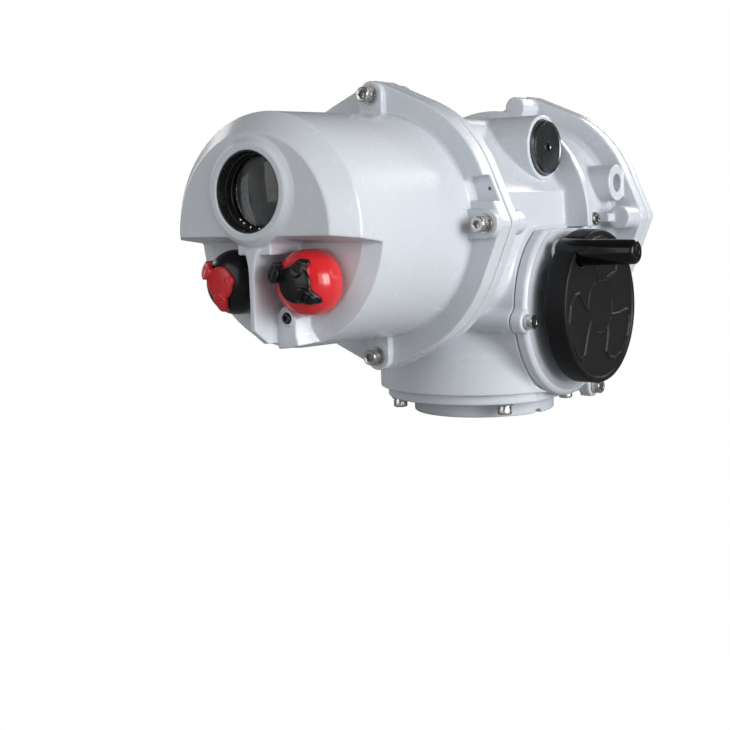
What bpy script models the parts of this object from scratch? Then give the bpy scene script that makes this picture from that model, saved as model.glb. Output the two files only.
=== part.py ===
"""Motorized multi-turn valve actuator, as an assembly of separate pieces.

Frame: the origin is on the drive axis at the valve mounting face, +Z up. The control cover with
its window and knobs faces -Y, and the handwheel is on the +X side.
"""
import math

import bmesh
import bpy
from mathutils import Matrix, Vector

MM = 0.001
GAP = 0.3 * MM                   # air left between touching pieces
TURN_GAP = 0.5 * MM              # air left around a piece that turns
X, Y, Z = Vector((1, 0, 0)), Vector((0, 1, 0)), Vector((0, 0, 1))
ORIGIN = Vector((0, 0, 0))

# Driving dimensions
BODY_Z = 178 * MM                # height of the horizontal body axis over the mounting face
BODY_R = 97 * MM                 # gear case body
BODY_BORE_R = 86 * MM            # electronics end
FRONT_BORE_R = 74 * MM           # behind the front joint, inside the flattened side
OIL_BORE_R = 72 * MM             # middle chamber
FLAT_X = 80 * MM                 # flattened right side of the middle of the body
FLAT_FRONT_Y = -106 * MM
BAND_Y = 21 * MM                 # front of the raised band ahead of the rear flange
BAND_R = 105.5 * MM
REAR_BODY_R = 90 * MM
FRONT_JOINT_Y = -146.6 * MM      # middle of the gap between control cover and gear case
REAR_JOINT_Y = 112 * MM          # middle of the gap between gear case and rear cover
JOINT_HALF = 0.6 * MM            # half of the gap that a joint gasket fills
FLANGE_R = 114 * MM              # flange outline between its ears
FLANGE_TIP_R = 123.5 * MM        # flange outline at the ears
FLANGE_BOLT_R = 111 * MM

COVER_FRONT_Y = -323 * MM        # flat front face of the hood
COVER_FACE_R = 75 * MM
COVER_SHOULDER_Y = -306 * MM
COVER_SHOULDER_R = 91.5 * MM
COVER_ROOT_R = 95 * MM           # cover body at its flange
COVER_FLANGE_Y = -163 * MM       # front of the cover's flange
COVER_BOSS_Y = -168.5 * MM       # seats of the cover bolts
RECESS_Y = -286 * MM             # wall behind the knobs
RECESS_LIP_Y = -280 * MM
SHELF_FRONT_Z = 174.3 * MM       # underside of the hood, front edge
SHELF_BACK_Z = 168 * MM

POCKET_X = 98.6 * MM             # open pocket in the cover's flange, above the right ear
POCKET_Z = 206.8 * MM

WINDOW_Z = 208.2 * MM
WINDOW_R = 31.4 * MM
BEZEL_FRONT_Y = -327.5 * MM

KNOB_X = 36 * MM
KNOB_Z = 138.5 * MM
KNOB_R = 25.5 * MM
KNOB_NECK_R = 21 * MM            # narrower root of a knob, against the recess wall
KNOB_SHOULDER_Y = -302 * MM
KNOB_CROWN_Y = -320.5 * MM
SCREW_X = 13.5 * MM               # screw on the post beside the web
SCREW_Z = 111 * MM
POST_FRONT_Y = -300 * MM

BASE_R = 98 * MM                 # vertical drive housing
COLUMN_R = 80.5 * MM             # its narrower upper part, below the horizontal body
BASE_BOTTOM_Z = 24.5 * MM
BASE_SEAT_Z = 25 * MM            # bottom of the shallow register for the base plate
BASE_RING_R = 91 * MM
BASE_RING_Z = 14.8 * MM
SPIGOT_R = 66.4 * MM
BASE_BOLT_R = 81 * MM

HAND_Z = 99.6 * MM               # handwheel axis
HAND_FLANGE_R = 82 * MM
LEDGE_Z = 170 * MM               # flat top of the handwheel flange, under a ledge of the body
HAND_FLANGE_X = 84 * MM          # joint of the handwheel flange
HAND_FLANGE_FRONT_X = 96 * MM
WHEEL_BACK_X = 106 * MM
WHEEL_FRONT_X = 128 * MM
WHEEL_R = 69.3 * MM
HAND_BOLTS = ((186, 81), (298, 90), (62, 88))     # (degrees, radius in mm) about the handwheel axis
GRIP_Y = -33.5 * MM
GRIP_Z = 149.4 * MM
GRIP_END_X = 180 * MM

PLUG_Y = -2 * MM
PLUG_Z = 244.5 * MM
PLUG_BOSS_X = 74 * MM
LUG_Y = 86 * MM
LUG_Z = 211 * MM
LUG_X = 104 * MM

CONDUIT_Y = 66 * MM
CONDUIT_HEIGHTS = (BODY_Z - 33 * MM, BODY_Z + 33 * MM)
QUARTERS = ((0, "right"), (90, "top"), (180, "left"), (270, "bottom"))     # the flange ears

WORM_X = -45.5 * MM              # worm and motor axis, parallel to Y at BODY_Z
FRONT_WALL_Y = -72 * MM          # walls that close the oil chamber
REAR_WALL_Y = 40 * MM
WALL = 12 * MM
SLEEVE_R = 29.5 * MM
SLEEVE_UPPER_R = 20 * MM
BUSH_R = 22 * MM

SEGMENTS = 32                    # sides of a large round
SMALL = 14                       # sides of a boss or a seat
TINY = 6                         # sides of a bolt hole
BOLT_HOLE_R = 4.9 * MM           # its flats clear an 8 mm shank
TWIST = math.radians(3)          # keeps the corners of crossing cylinders apart


# Scene, collections and materials

def clear_scene():
    for obj in list(bpy.data.objects):
        bpy.data.objects.remove(obj, do_unlink=True)


def new_collection(name):
    collection = bpy.data.collections.new(name)
    bpy.context.scene.collection.children.link(collection)
    return collection


def material(name, color, roughness, metallic=0.0):
    mat = bpy.data.materials.new(name)
    mat.use_nodes = True
    shader = mat.node_tree.nodes["Principled BSDF"]
    shader.inputs["Base Color"].default_value = (*color, 1.0)
    shader.inputs["Roughness"].default_value = roughness
    shader.inputs["Metallic"].default_value = metallic
    mat.diffuse_color = (*color, 1.0)
    return mat


clear_scene()
PARTS = new_collection("motorized_valve_actuator")
CUTTERS = new_collection("cutters")

WHITE_PAINT = material("white_paint", (0.78, 0.79, 0.81), 0.35)
STEEL = material("steel", (0.55, 0.55, 0.55), 0.3, 1.0)
DARK_STEEL = material("dark_steel", (0.1, 0.1, 0.1), 0.4, 1.0)
BLACK_RUBBER = material("black_rubber", (0.02, 0.02, 0.02), 0.8)
BLACK_PLASTIC = material("black_plastic", (0.015, 0.015, 0.016), 0.35)
RED_PLASTIC = material("red_plastic", (0.72, 0.03, 0.03), 0.25)
GLASS = material("window_glass", (0.05, 0.05, 0.06), 0.05)
DISPLAY = material("display", (0.03, 0.035, 0.035), 0.2)
BOARD_GREEN = material("board_green", (0.03, 0.22, 0.08), 0.5)
COPPER = material("copper", (0.7, 0.32, 0.16), 0.4, 1.0)
LAMINATION = material("lamination_steel", (0.32, 0.33, 0.35), 0.45, 1.0)
BRONZE = material("bronze", (0.62, 0.42, 0.18), 0.35, 1.0)
ALUMINIUM = material("aluminium", (0.66, 0.67, 0.68), 0.35, 1.0)
GREY_PLASTIC = material("grey_plastic", (0.3, 0.31, 0.32), 0.5)


# Modelling helpers

def turn_to(direction):
    """Rotation that carries +Z onto direction and keeps the profile's +X side horizontal."""
    return Z.rotation_difference(Vector(direction)).to_matrix().to_4x4()


def link(name, mesh, place=None):
    obj = bpy.data.objects.new(name, mesh)
    CUTTERS.objects.link(obj)
    obj.hide_render = True
    obj.display_type = "WIRE"
    if place is not None:
        obj.matrix_world = place
    return obj


def mesh_from(name, bm):
    mesh = bpy.data.meshes.new(name)
    bm.to_mesh(mesh)
    bm.free()
    return mesh


def rod(name, radius, start, end, segments=SEGMENTS, end_radius=None):
    """A cylinder or cone from start to end."""
    start, end = Vector(start), Vector(end)
    bm = bmesh.new()
    bmesh.ops.create_cone(bm, cap_ends=True, segments=segments, radius1=radius,
                          radius2=radius if end_radius is None else end_radius,
                          depth=(end - start).length)
    bmesh.ops.rotate(bm, verts=bm.verts, matrix=Matrix.Rotation(TWIST, 3, "Z"))
    place = Matrix.Translation((start + end) / 2) @ turn_to(end - start)
    return link(name, mesh_from(name, bm), place)


def box(name, low, high):
    low, high = Vector(low), Vector(high)
    bm = bmesh.new()
    bmesh.ops.create_cube(bm, size=1.0)
    bmesh.ops.scale(bm, vec=high - low, verts=bm.verts)
    return link(name, mesh_from(name, bm), Matrix.Translation((low + high) / 2))


def turned(name, profile, centre=ORIGIN, axis=Z, segments=SEGMENTS):
    """Spin (radius, height) points about axis; a ring's profile is closed back to its start."""
    area = sum(a[0] * b[1] - b[0] * a[1] for a, b in zip(profile, profile[1:] + profile[:1]))
    ordered = profile[::-1] if area > 0 else profile       # the outer side runs top to bottom
    points = [(radius, 0, height) for radius, height in ordered]
    is_ring = all(radius > 0 for radius, height in profile)
    edges = [(i, i + 1) for i in range(len(points) - 1)]
    if is_ring:
        edges.append((len(points) - 1, 0))
    mesh = bpy.data.meshes.new(name)
    mesh.from_pydata(points, edges, [])
    obj = link(name, mesh, Matrix.Translation(centre) @ turn_to(axis))
    spin = obj.modifiers.new("spin", "SCREW")
    spin.steps = segments
    spin.render_steps = segments
    spin.use_merge_vertices = True
    spin.merge_threshold = 0.00001
    return obj


def ring(name, outer, inner, start, end, segments=SEGMENTS):
    """A plain ring between two points on its axis."""
    start, end = Vector(start), Vector(end)
    height = (end - start).length
    profile = [(outer, height), (outer, 0), (inner, 0), (inner, height)]
    return turned(name, profile, start, end - start, segments)


def slab(name, outline, low, high, across=Y):
    """Extrude an outline. It holds (x, z) points across Y, (y, z) across X or (x, y) across Z."""
    bm = bmesh.new()
    frames = {
        "y": lambda a, b: (a, low, b),
        "x": lambda a, b: (low, a, b),
        "z": lambda a, b: (a, b, low),
    }
    key = "x" if across == X else "y" if across == Y else "z"
    face = bm.faces.new([bm.verts.new(frames[key](a, b)) for a, b in outline])
    moved = bmesh.ops.extrude_face_region(bm, geom=[face])["geom"]
    verts = [item for item in moved if isinstance(item, bmesh.types.BMVert)]
    bmesh.ops.translate(bm, verts=verts, vec=across * (high - low))
    bmesh.ops.recalc_face_normals(bm, faces=bm.faces)
    return link(name, mesh_from(name, bm))


def cut(obj, *cutters):
    for cutter in cutters:
        boolean(obj, cutter, "DIFFERENCE")
    return obj


def join(obj, *others):
    for other in others:
        boolean(obj, other, "UNION")
    return obj


def keep_inside(obj, other):
    boolean(obj, other, "INTERSECT")
    return obj


def boolean(obj, other, operation):
    step = obj.modifiers.new(operation.lower(), "BOOLEAN")
    step.operation = operation
    step.solver = "EXACT"
    step.object = other


def bevel(obj, width, segments=1, angle=40):
    step = obj.modifiers.new("bevel", "BEVEL")
    step.width = width
    step.segments = segments
    step.limit_method = "ANGLE"
    step.angle_limit = math.radians(angle)
    return obj


def part(obj, mat, parent=None):
    """Finish a piece: apply its modifiers, give it its material and shade its round faces."""
    bpy.context.view_layer.update()
    graph = bpy.context.evaluated_depsgraph_get()
    mesh = bpy.data.meshes.new_from_object(obj.evaluated_get(graph))
    obj.modifiers.clear()
    obj.data = mesh
    mesh.materials.clear()
    mesh.materials.append(mat)
    mesh.shade_smooth()
    mesh.set_sharp_from_angle(angle=math.radians(35))
    CUTTERS.objects.unlink(obj)
    PARTS.objects.link(obj)
    obj.hide_render = False
    obj.display_type = "TEXTURED"
    if parent is not None:
        bpy.context.view_layer.update()
        obj.parent = parent
        obj.matrix_parent_inverse = parent.matrix_world.inverted()
    return obj


def joint_axis(name, point):
    """An empty on a joint's axis, the parent of the pieces that move with it."""
    empty = bpy.data.objects.new(name, None)
    empty.location = point
    empty.empty_display_size = 0.02
    PARTS.objects.link(empty)
    bpy.context.view_layer.update()
    return empty


def polar(degrees, radius):
    angle = math.radians(degrees)
    return radius * math.cos(angle), radius * math.sin(angle)


def on_body(degrees, radius, y):
    """A point about the horizontal body axis; 0 degrees is +X and 90 is up."""
    x, z = polar(degrees, radius)
    return Vector((x, y, BODY_Z + z))


def on_hand(degrees, radius, x):
    """A point about the handwheel axis; 0 degrees is +Y and 90 is up."""
    y, z = polar(degrees, radius)
    return Vector((x, y, HAND_Z + z))


def flange_outline(shrink=0.0, main=FLANGE_R, tip=FLANGE_TIP_R, corner=6 * MM):
    """A circle drawn out to four ears: straight tangents, and a small round tip on each ear."""
    main, tip = main - shrink, tip - shrink
    ear_centre = tip - corner
    tangent = math.degrees(math.acos((main - corner) / ear_centre))
    points = []
    for quarter in range(4):
        middle = 90 * quarter
        for turn in (-tangent, 0, tangent):
            x, z = polar(middle + turn, corner)
            ear_x, ear_z = polar(middle, ear_centre)
            points.append((x + ear_x, BODY_Z + z + ear_z))
        arc = 90 - 2 * tangent
        for step in range(5):
            x, z = polar(middle + tangent + arc * step / 4, main)
            points.append((x, BODY_Z + z))
    return points


def socket_bolt(name, seat, direction, thread_length, size=8 * MM, washers=()):
    """A socket-head screw with its captive washers, given as (outer radius, thickness) pairs."""
    seat, direction = Vector(seat), Vector(direction)
    profile = [(0, -thread_length), (size / 2, -thread_length), (size / 2, 0)]
    height = 0
    for radius, thickness in washers:
        profile += [(radius, height), (radius, height + thickness)]
        height += thickness
    head_r = 0.8125 * size
    top = height + size
    profile += [(head_r, height), (head_r, top), (0, top)]
    bolt = turned(name, profile, seat, direction, 12)
    return cut(bolt, rod(name + "_socket", 0.43 * size, seat + direction * (top - 0.55 * size),
                         seat + direction * (top + 0.2 * size), 6))


def toothed(name, teeth, tip, root, low, high, top_scale=1.0):
    """A wheel with straight teeth about Z, narrowed towards high by top_scale."""
    outline = []
    for tooth in range(teeth):
        for share, radius in ((-0.34, root), (-0.17, tip), (0.17, tip), (0.34, root)):
            outline.append(polar((tooth + share) * 360 / teeth, radius))
    bm = bmesh.new()
    lower = [bm.verts.new((x, y, low)) for x, y in outline]
    upper = [bm.verts.new((x * top_scale, y * top_scale, high)) for x, y in outline]
    bm.faces.new(list(reversed(lower)))
    bm.faces.new(upper)
    count = len(outline)
    for i in range(count):
        follow = (i + 1) % count
        bm.faces.new((lower[i], lower[follow], upper[follow], upper[i]))
    return link(name, mesh_from(name, bm))


# Housing castings

def gearcase():
    """The main casting: body, drive housing, side housing, flanges, bosses and two inner walls."""
    front, rear = FRONT_JOINT_Y + JOINT_HALF, REAR_JOINT_Y - JOINT_HALF
    body_profile = [
        (0, front + 2 * MM), (112.5 * MM, front + 2 * MM), (BODY_R, -106 * MM),
        (BODY_R, BAND_Y), (BAND_R, BAND_Y + 1 * MM), (BAND_R, 30 * MM), (REAR_BODY_R, 33 * MM),
        (REAR_BODY_R, 96 * MM), (104 * MM, rear - 2 * MM), (0, rear - 2 * MM),
    ]
    body_axis = Vector((0, 0, BODY_Z))
    shell = turned("gearcase", body_profile, body_axis, Y)
    flat = [(FLAT_X, BODY_Z), (FLAT_X, 204 * MM), (27 * MM, 268 * MM), (27 * MM, 300 * MM),
            (130 * MM, 300 * MM), (130 * MM, BODY_Z - 40 * MM), (FLAT_X, BODY_Z - 40 * MM)]
    cut(shell, slab("side_flat", flat, FLAT_FRONT_Y, BAND_Y))
    for y_low, y_high, name in ((front, front + 12 * MM, "front_flange"),
                                (rear - 13 * MM, rear, "rear_flange")):
        join(shell, slab(name, flange_outline(), y_low, y_high))
    column = [(0, BASE_BOTTOM_Z), (BASE_R, BASE_BOTTOM_Z), (BASE_R, 64 * MM),
              (COLUMN_R, 118 * MM), (COLUMN_R, BODY_Z), (0, BODY_Z)]
    join(shell, turned("drive_housing", column))
    side = rod("side_housing", HAND_FLANGE_R, (20 * MM, 0, HAND_Z), (90 * MM, 0, HAND_Z))
    seat_x = HAND_FLANGE_X - JOINT_HALF / 2
    seat = rod("flange_seat", HAND_FLANGE_R + 2 * MM, (seat_x, 0, HAND_Z), (0.13, 0, HAND_Z))
    cut(side, above("side_housing_top", LEDGE_Z))
    cut(seat, above("flange_seat_top", LEDGE_Z + 0.6 * MM))
    for degrees, radius in HAND_BOLTS:
        radius *= MM
        join(side, rod("ear", 10 * MM, on_hand(degrees, radius, 30 * MM),
                       on_hand(degrees, radius, 88 * MM), SMALL))
        join(seat, rod("ear_seat", 12 * MM, on_hand(degrees, radius, seat_x),
                       on_hand(degrees, radius, 0.13), SMALL))
    join(shell, side)
    cut(shell, seat)
    cut(shell, rod("base_register", BASE_RING_R + 1 * MM, (0, 0, 0), (0, 0, BASE_SEAT_Z)))
    for degrees, label in QUARTERS:
        join(shell, rod("front_ear", 10.5 * MM, on_body(degrees, FLANGE_BOLT_R, front + 6 * MM),
                        on_body(degrees, FLANGE_BOLT_R, front + 27 * MM), SMALL))
        join(shell, rod("rear_ear", 11 * MM, on_body(degrees, FLANGE_BOLT_R, 72 * MM),
                        on_body(degrees, FLANGE_BOLT_R, rear - 4 * MM), SMALL))
    for side in (-1, 1):
        x_low, x_high = sorted((side * 84 * MM, side * 106 * MM))
        join(shell, box("rib", (x_low, 62 * MM, BODY_Z - 4 * MM),
                        (x_high, rear - 4 * MM, BODY_Z + 4 * MM)))
    join(shell, rod("plug_boss", 30 * MM, (20 * MM, PLUG_Y, PLUG_Z),
                    (PLUG_BOSS_X, PLUG_Y, PLUG_Z), 24))
    join(shell, rod("lug", 17.5 * MM, (50 * MM, LUG_Y, LUG_Z), (LUG_X, LUG_Y, LUG_Z), SMALL))
    for z in CONDUIT_HEIGHTS:
        join(shell, rod("conduit_boss", 22 * MM, (-60 * MM, CONDUIT_Y, z),
                        (-108 * MM, CONDUIT_Y, z), SMALL))
    hollow_out(shell, front, rear, body_axis)
    return part(shell, WHITE_PAINT)


def above(name, z):
    """Everything over a height near the handwheel flange."""
    return box(name, (0, -0.12, z), (0.14, 0.12, z + 0.05))


def hollow_out(shell, front, rear, body_axis):
    """Cut the three chambers, the bearing seats and the bolt and plug holes."""
    past = 2 * MM
    chambers = [
        rod("front_room", FRONT_BORE_R, body_axis + Y * (front - past), body_axis + Y * FRONT_WALL_Y),
        rod("oil_room", OIL_BORE_R, body_axis + Y * (FRONT_WALL_Y + WALL),
            body_axis + Y * REAR_WALL_Y),
        rod("rear_room", 82 * MM, body_axis + Y * (REAR_WALL_Y + WALL),
            body_axis + Y * (rear + past)),
        rod("drive_room", 75 * MM, (0, 0, 58 * MM), (0, 0, BODY_Z)),
    ]
    cut(shell, *chambers)
    hanger = rod("upper_seat", 34 * MM, (0, 0, 247 * MM), (0, 0, 266 * MM), 24)
    join(shell, hanger)
    cut(shell,
        rod("upper_bore", 28.4 * MM, (0, 0, 240 * MM), (0, 0, 263.2 * MM), 24),
        rod("lower_bore", 44.3 * MM, (0, 0, 20 * MM), (0, 0, 42.3 * MM)),
        rod("sleeve_bore", 38 * MM, (0, 0, 20 * MM), (0, 0, 70 * MM)),
        rod("hand_bore", 24.4 * MM, (60 * MM, 0, HAND_Z), (90 * MM, 0, HAND_Z), 24),
        rod("side_pocket", 62 * MM, (79.5 * MM, 0, HAND_Z), (90 * MM, 0, HAND_Z)),
        rod("plug_bore", 19.5 * MM, (0, PLUG_Y, PLUG_Z), (80 * MM, PLUG_Y, PLUG_Z), SMALL),
        rod("plug_seat", 25.6 * MM, (68 * MM, PLUG_Y, PLUG_Z), (110 * MM, PLUG_Y, PLUG_Z), 24),
        rod("lug_hole", 8.4 * MM, (LUG_X - 18 * MM, LUG_Y, LUG_Z),
            (LUG_X + past, LUG_Y, LUG_Z), SMALL),
        rod("worm_front_seat", 13.4 * MM, (WORM_X, FRONT_WALL_Y + 3 * MM, BODY_Z),
            (WORM_X, FRONT_WALL_Y + 20 * MM, BODY_Z), SMALL),
        rod("worm_rear_seat", 13.4 * MM, (WORM_X, REAR_WALL_Y - 5 * MM, BODY_Z),
            (WORM_X, REAR_WALL_Y + 20 * MM, BODY_Z), SMALL))
    for z in CONDUIT_HEIGHTS:
        cut(shell, rod("conduit_hole", 15.8 * MM, (-120 * MM, CONDUIT_Y, z),
                       (-60 * MM, CONDUIT_Y, z), SMALL))
    for degrees, label in QUARTERS:
        cut(shell,
            rod("front_tap", BOLT_HOLE_R, on_body(degrees, FLANGE_BOLT_R, front - past),
                on_body(degrees, FLANGE_BOLT_R, front + 16 * MM), TINY),
            rod("rear_tap", BOLT_HOLE_R, on_body(degrees, FLANGE_BOLT_R, rear - 16 * MM),
                on_body(degrees, FLANGE_BOLT_R, rear + past), TINY))
    for degrees in (45, 135, 225, 315):
        x, y = polar(degrees, BASE_BOLT_R)
        cut(shell, rod("base_tap", BOLT_HOLE_R, (x, y, 20 * MM), (x, y, 42 * MM), TINY))
    for degrees, radius in HAND_BOLTS:
        cut(shell, rod("hand_tap", BOLT_HOLE_R, on_hand(degrees, radius * MM, 70 * MM),
                       on_hand(degrees, radius * MM, 90 * MM), TINY))


def control_cover():
    """The front casting: tapered can, hood, window boss, web, screw post, flange and ear bosses."""
    rear = FRONT_JOINT_Y - JOINT_HALF
    axis = Vector((0, 0, BODY_Z))
    outside = [
        (0, rear - 2 * MM), (COVER_ROOT_R, rear - 2 * MM), (COVER_ROOT_R, COVER_FLANGE_Y),
        (COVER_SHOULDER_R, COVER_SHOULDER_Y), (COVER_FACE_R, COVER_FRONT_Y), (0, COVER_FRONT_Y),
    ]
    shell = turned("control_cover", outside, axis, Y)
    lower_front = [
        (0, RECESS_Y), (77 * MM, RECESS_Y), (92 * MM, RECESS_LIP_Y), (120 * MM, RECESS_LIP_Y),
        (120 * MM, COVER_FRONT_Y - 20 * MM), (0, COVER_FRONT_Y - 20 * MM),
    ]
    step = turned("lower_front", lower_front, axis, Y)
    below_shelf = [
        (COVER_FRONT_Y - 30 * MM, SHELF_FRONT_Z), (COVER_FRONT_Y, SHELF_FRONT_Z),
        (RECESS_LIP_Y, SHELF_BACK_Z), (RECESS_LIP_Y + 10 * MM, SHELF_BACK_Z),
        (RECESS_LIP_Y + 10 * MM, 40 * MM), (COVER_FRONT_Y - 30 * MM, 40 * MM),
    ]
    keep_inside(step, slab("below_shelf", below_shelf, -0.13, 0.13, X))
    cut(shell, step)
    join(shell, slab("flange", flange_outline(), COVER_FLANGE_Y, rear))
    for degrees, label in QUARTERS:
        boss = rod("ear_boss", 12 * MM, on_body(degrees, FLANGE_BOLT_R, COVER_BOSS_Y),
                   on_body(degrees, FLANGE_BOLT_R, COVER_FLANGE_Y + 4 * MM), SMALL)
        fill = box("ear_fill", (85 * MM, COVER_BOSS_Y, -12 * MM),
                   (FLANGE_BOLT_R, COVER_FLANGE_Y + 4 * MM, 12 * MM))
        turn = Matrix.Rotation(-math.radians(degrees), 4, "Y")
        fill.matrix_world = Matrix.Translation(axis) @ turn @ fill.matrix_world
        join(shell, join(boss, fill))
    window = Vector((0, 0, WINDOW_Z))
    bezel = [(0, BEZEL_FRONT_Y), (38.5 * MM, BEZEL_FRONT_Y), (43 * MM, COVER_FRONT_Y + 0.4 * MM),
             (43 * MM, RECESS_Y + 3 * MM), (0, RECESS_Y + 3 * MM)]
    join(shell,
         turned("window_boss", bezel, window, Y),
         box("housing_block", (-16.5 * MM, -321 * MM, 160 * MM),
             (16.5 * MM, RECESS_Y + 4 * MM, 172.5 * MM)),
         slab("web", web_outline(), -325 * MM, RECESS_Y + 4 * MM),
         box("screw_post", (SCREW_X - 7 * MM, POST_FRONT_Y, 92 * MM),
             (SCREW_X + 7.5 * MM, RECESS_Y + 4 * MM, SCREW_Z)),
         rod("screw_boss", 8.5 * MM, (SCREW_X, POST_FRONT_Y, SCREW_Z),
             (SCREW_X, RECESS_Y + 4 * MM, SCREW_Z), SMALL))
    for side in (-1, 1):
        join(shell, rod("knob_spigot", 5 * MM, (side * KNOB_X, -298 * MM, KNOB_Z),
                        (side * KNOB_X, RECESS_Y + 3 * MM, KNOB_Z), SMALL))
    foot = [(-331 * MM, 106.6 * MM), (-301 * MM, 85.2 * MM), (-301 * MM, 60 * MM),
            (-331 * MM, 60 * MM)]
    foot_cut = slab("foot_cut", foot, -40 * MM, 40 * MM, X)
    cut(shell, foot_cut)
    hollow_out_cover(shell, rear, axis, window)
    return part(shell, WHITE_PAINT)


def web_outline():
    """Front view of the web: a neck that narrows below the window boss, then a thin rib."""
    half = [(9 * MM, 172 * MM), (7.5 * MM, 164 * MM), (4.5 * MM, 156 * MM), (2.8 * MM, 147 * MM),
            (2.4 * MM, 125 * MM), (3 * MM, 86.8 * MM)]
    return [(x, z) for x, z in half] + [(-x, z) for x, z in reversed(half)]


def hollow_out_cover(shell, rear, axis, window):
    past = 2 * MM
    can = [(0, -279 * MM), (83 * MM, -279 * MM), (BODY_BORE_R, rear + past), (0, rear + past)]
    hood = [(0, -315 * MM), (62 * MM, -315 * MM), (81 * MM, -303 * MM), (83 * MM, -277 * MM),
            (0, -277 * MM)]
    hood_room = turned("hood_room", hood, axis, Y)
    keep_inside(hood_room, box("hood_part", (-0.1, -0.4, 181 * MM), (0.1, 0, 0.3)))
    cut(shell, turned("can_room", can, axis, Y), hood_room,
        rod("window_bore", WINDOW_R, window - Y * 340 * MM, window - Y * 312 * MM, 44),
        rod("glass_step", 34 * MM, window - Y * 318 * MM, window - Y * 275 * MM, 44),
        rod("screw_hole", 4.4 * MM, (SCREW_X, -310 * MM, SCREW_Z),
            (SCREW_X, -284.5 * MM, SCREW_Z), TINY))
    for degrees, label in QUARTERS:
        cut(shell, rod("bolt_hole", BOLT_HOLE_R, on_body(degrees, FLANGE_BOLT_R, -180 * MM),
                       on_body(degrees, FLANGE_BOLT_R, rear + past), TINY))
    pocket = rod("flange_pocket", 10.3 * MM, (POCKET_X, -180 * MM, POCKET_Z),
                 (POCKET_X, -153 * MM, POCKET_Z), SMALL)
    pocket_side = box("flange_pocket_side", (POCKET_X, -180 * MM, POCKET_Z - 10.3 * MM),
                      (125 * MM, -153 * MM, POCKET_Z + 10.3 * MM))
    body_keep = rod("pocket_keep", COVER_ROOT_R + 2 * MM, axis - Y * 190 * MM, axis - Y * 150 * MM)
    cut(shell, cut(join(pocket, pocket_side), body_keep))


def rear_cover():
    front = REAR_JOINT_Y + JOINT_HALF
    axis = Vector((0, 0, BODY_Z))
    outside = [(0, front + 1 * MM), (98 * MM, front + 1 * MM), (97 * MM, 134 * MM),
               (90 * MM, 146 * MM), (76 * MM, 152 * MM), (0, 154 * MM)]
    shell = turned("rear_cover", outside, axis, Y)
    join(shell, slab("rear_cover_flange", flange_outline(), front, front + 12 * MM))
    inside = [(0, front - 2 * MM), (85 * MM, front - 2 * MM), (84 * MM, 134 * MM),
              (74 * MM, 144 * MM), (0, 146 * MM)]
    cut(shell, turned("rear_cover_room", inside, axis, Y))
    for degrees, label in QUARTERS:
        cut(shell, rod("rear_bolt_hole", BOLT_HOLE_R,
                       on_body(degrees, FLANGE_BOLT_R, front - 2 * MM),
                       on_body(degrees, FLANGE_BOLT_R, front + 20 * MM), TINY))
    return part(shell, WHITE_PAINT)


def joint_seal(name, y):
    """A flat gasket inside a flanged joint, set back from the flange edge."""
    thickness = JOINT_HALF - GAP
    outline = flange_outline(1.5 * MM)
    seal = slab(name, outline, y - thickness, y + thickness)
    axis = Vector((0, 0, BODY_Z))
    cut(seal, rod(name + "_hole", 88 * MM, axis + Y * (y - 5 * MM), axis + Y * (y + 5 * MM)))
    for degrees, label in QUARTERS:
        cut(seal, rod(name + "_bolt", BOLT_HOLE_R, on_body(degrees, FLANGE_BOLT_R, y - 5 * MM),
                      on_body(degrees, FLANGE_BOLT_R, y + 5 * MM), TINY))
    return part(seal, BLACK_RUBBER)


def base_plate():
    """Round plate under the drive housing, with the spigot that the valve flange bolts to."""
    top = BASE_SEAT_Z - GAP
    plate = rod("base_plate", BASE_RING_R, (0, 0, BASE_RING_Z), (0, 0, top))
    cut(plate, box("side_relief", (HAND_FLANGE_X - 3 * MM, -0.1, 0), (0.1, 0.1, 0.05)))
    join(plate, rod("spigot", SPIGOT_R, (0, 0, 0), (0, 0, BASE_RING_Z + 1 * MM)))
    cut(plate,
        rod("drive_hole", 30.2 * MM, (0, 0, -0.01), (0, 0, 0.03), 24),
        rod("seal_pocket", 38.3 * MM, (0, 0, 15.7 * MM), (0, 0, 0.03), 24),
        box("spigot_notch", (60 * MM, -14 * MM, -1 * MM), (70 * MM, -6 * MM, 3 * MM)))
    for degrees in (45, 135, 225, 315):
        x, y = polar(degrees, BASE_BOLT_R)
        cut(plate, rod("base_hole", BOLT_HOLE_R, (x, y, 0), (x, y, 0.03), TINY))
        x, y = polar(degrees, 51 * MM)
        cut(plate, rod("valve_tap", 4.2 * MM, (x, y, -1 * MM), (x, y, 13 * MM), TINY))
    return part(plate, WHITE_PAINT)


def handwheel_flange():
    """Bolted ring that carries the handwheel shaft's bearing and seal."""
    back = HAND_FLANGE_X + JOINT_HALF / 2
    axis = Vector((0, 0, HAND_Z))
    profile = [
        (24 * MM, 72 * MM), (17.4 * MM, 72 * MM), (17.4 * MM, 84.4 * MM), (14.4 * MM, 84.4 * MM),
        (14.4 * MM, HAND_FLANGE_FRONT_X - 2 * MM), (74 * MM, HAND_FLANGE_FRONT_X - 2 * MM),
        (77 * MM, HAND_FLANGE_FRONT_X), (HAND_FLANGE_R, HAND_FLANGE_FRONT_X),
        (HAND_FLANGE_R, back), (24 * MM, back),
    ]
    flange = turned("handwheel_flange", profile, axis, X)
    cut(flange, above("flange_top", LEDGE_Z))
    for degrees, radius in HAND_BOLTS:
        radius *= MM
        join(flange, rod("flange_ear", 10 * MM, on_hand(degrees, radius, back),
                         on_hand(degrees, radius, HAND_FLANGE_FRONT_X), SMALL))
        cut(flange, rod("flange_hole", BOLT_HOLE_R, on_hand(degrees, radius, back - 5 * MM),
                        on_hand(degrees, radius, HAND_FLANGE_FRONT_X + 5 * MM), TINY))
    return part(flange, WHITE_PAINT)


# Plugs, seals, bearings and fasteners

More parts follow.
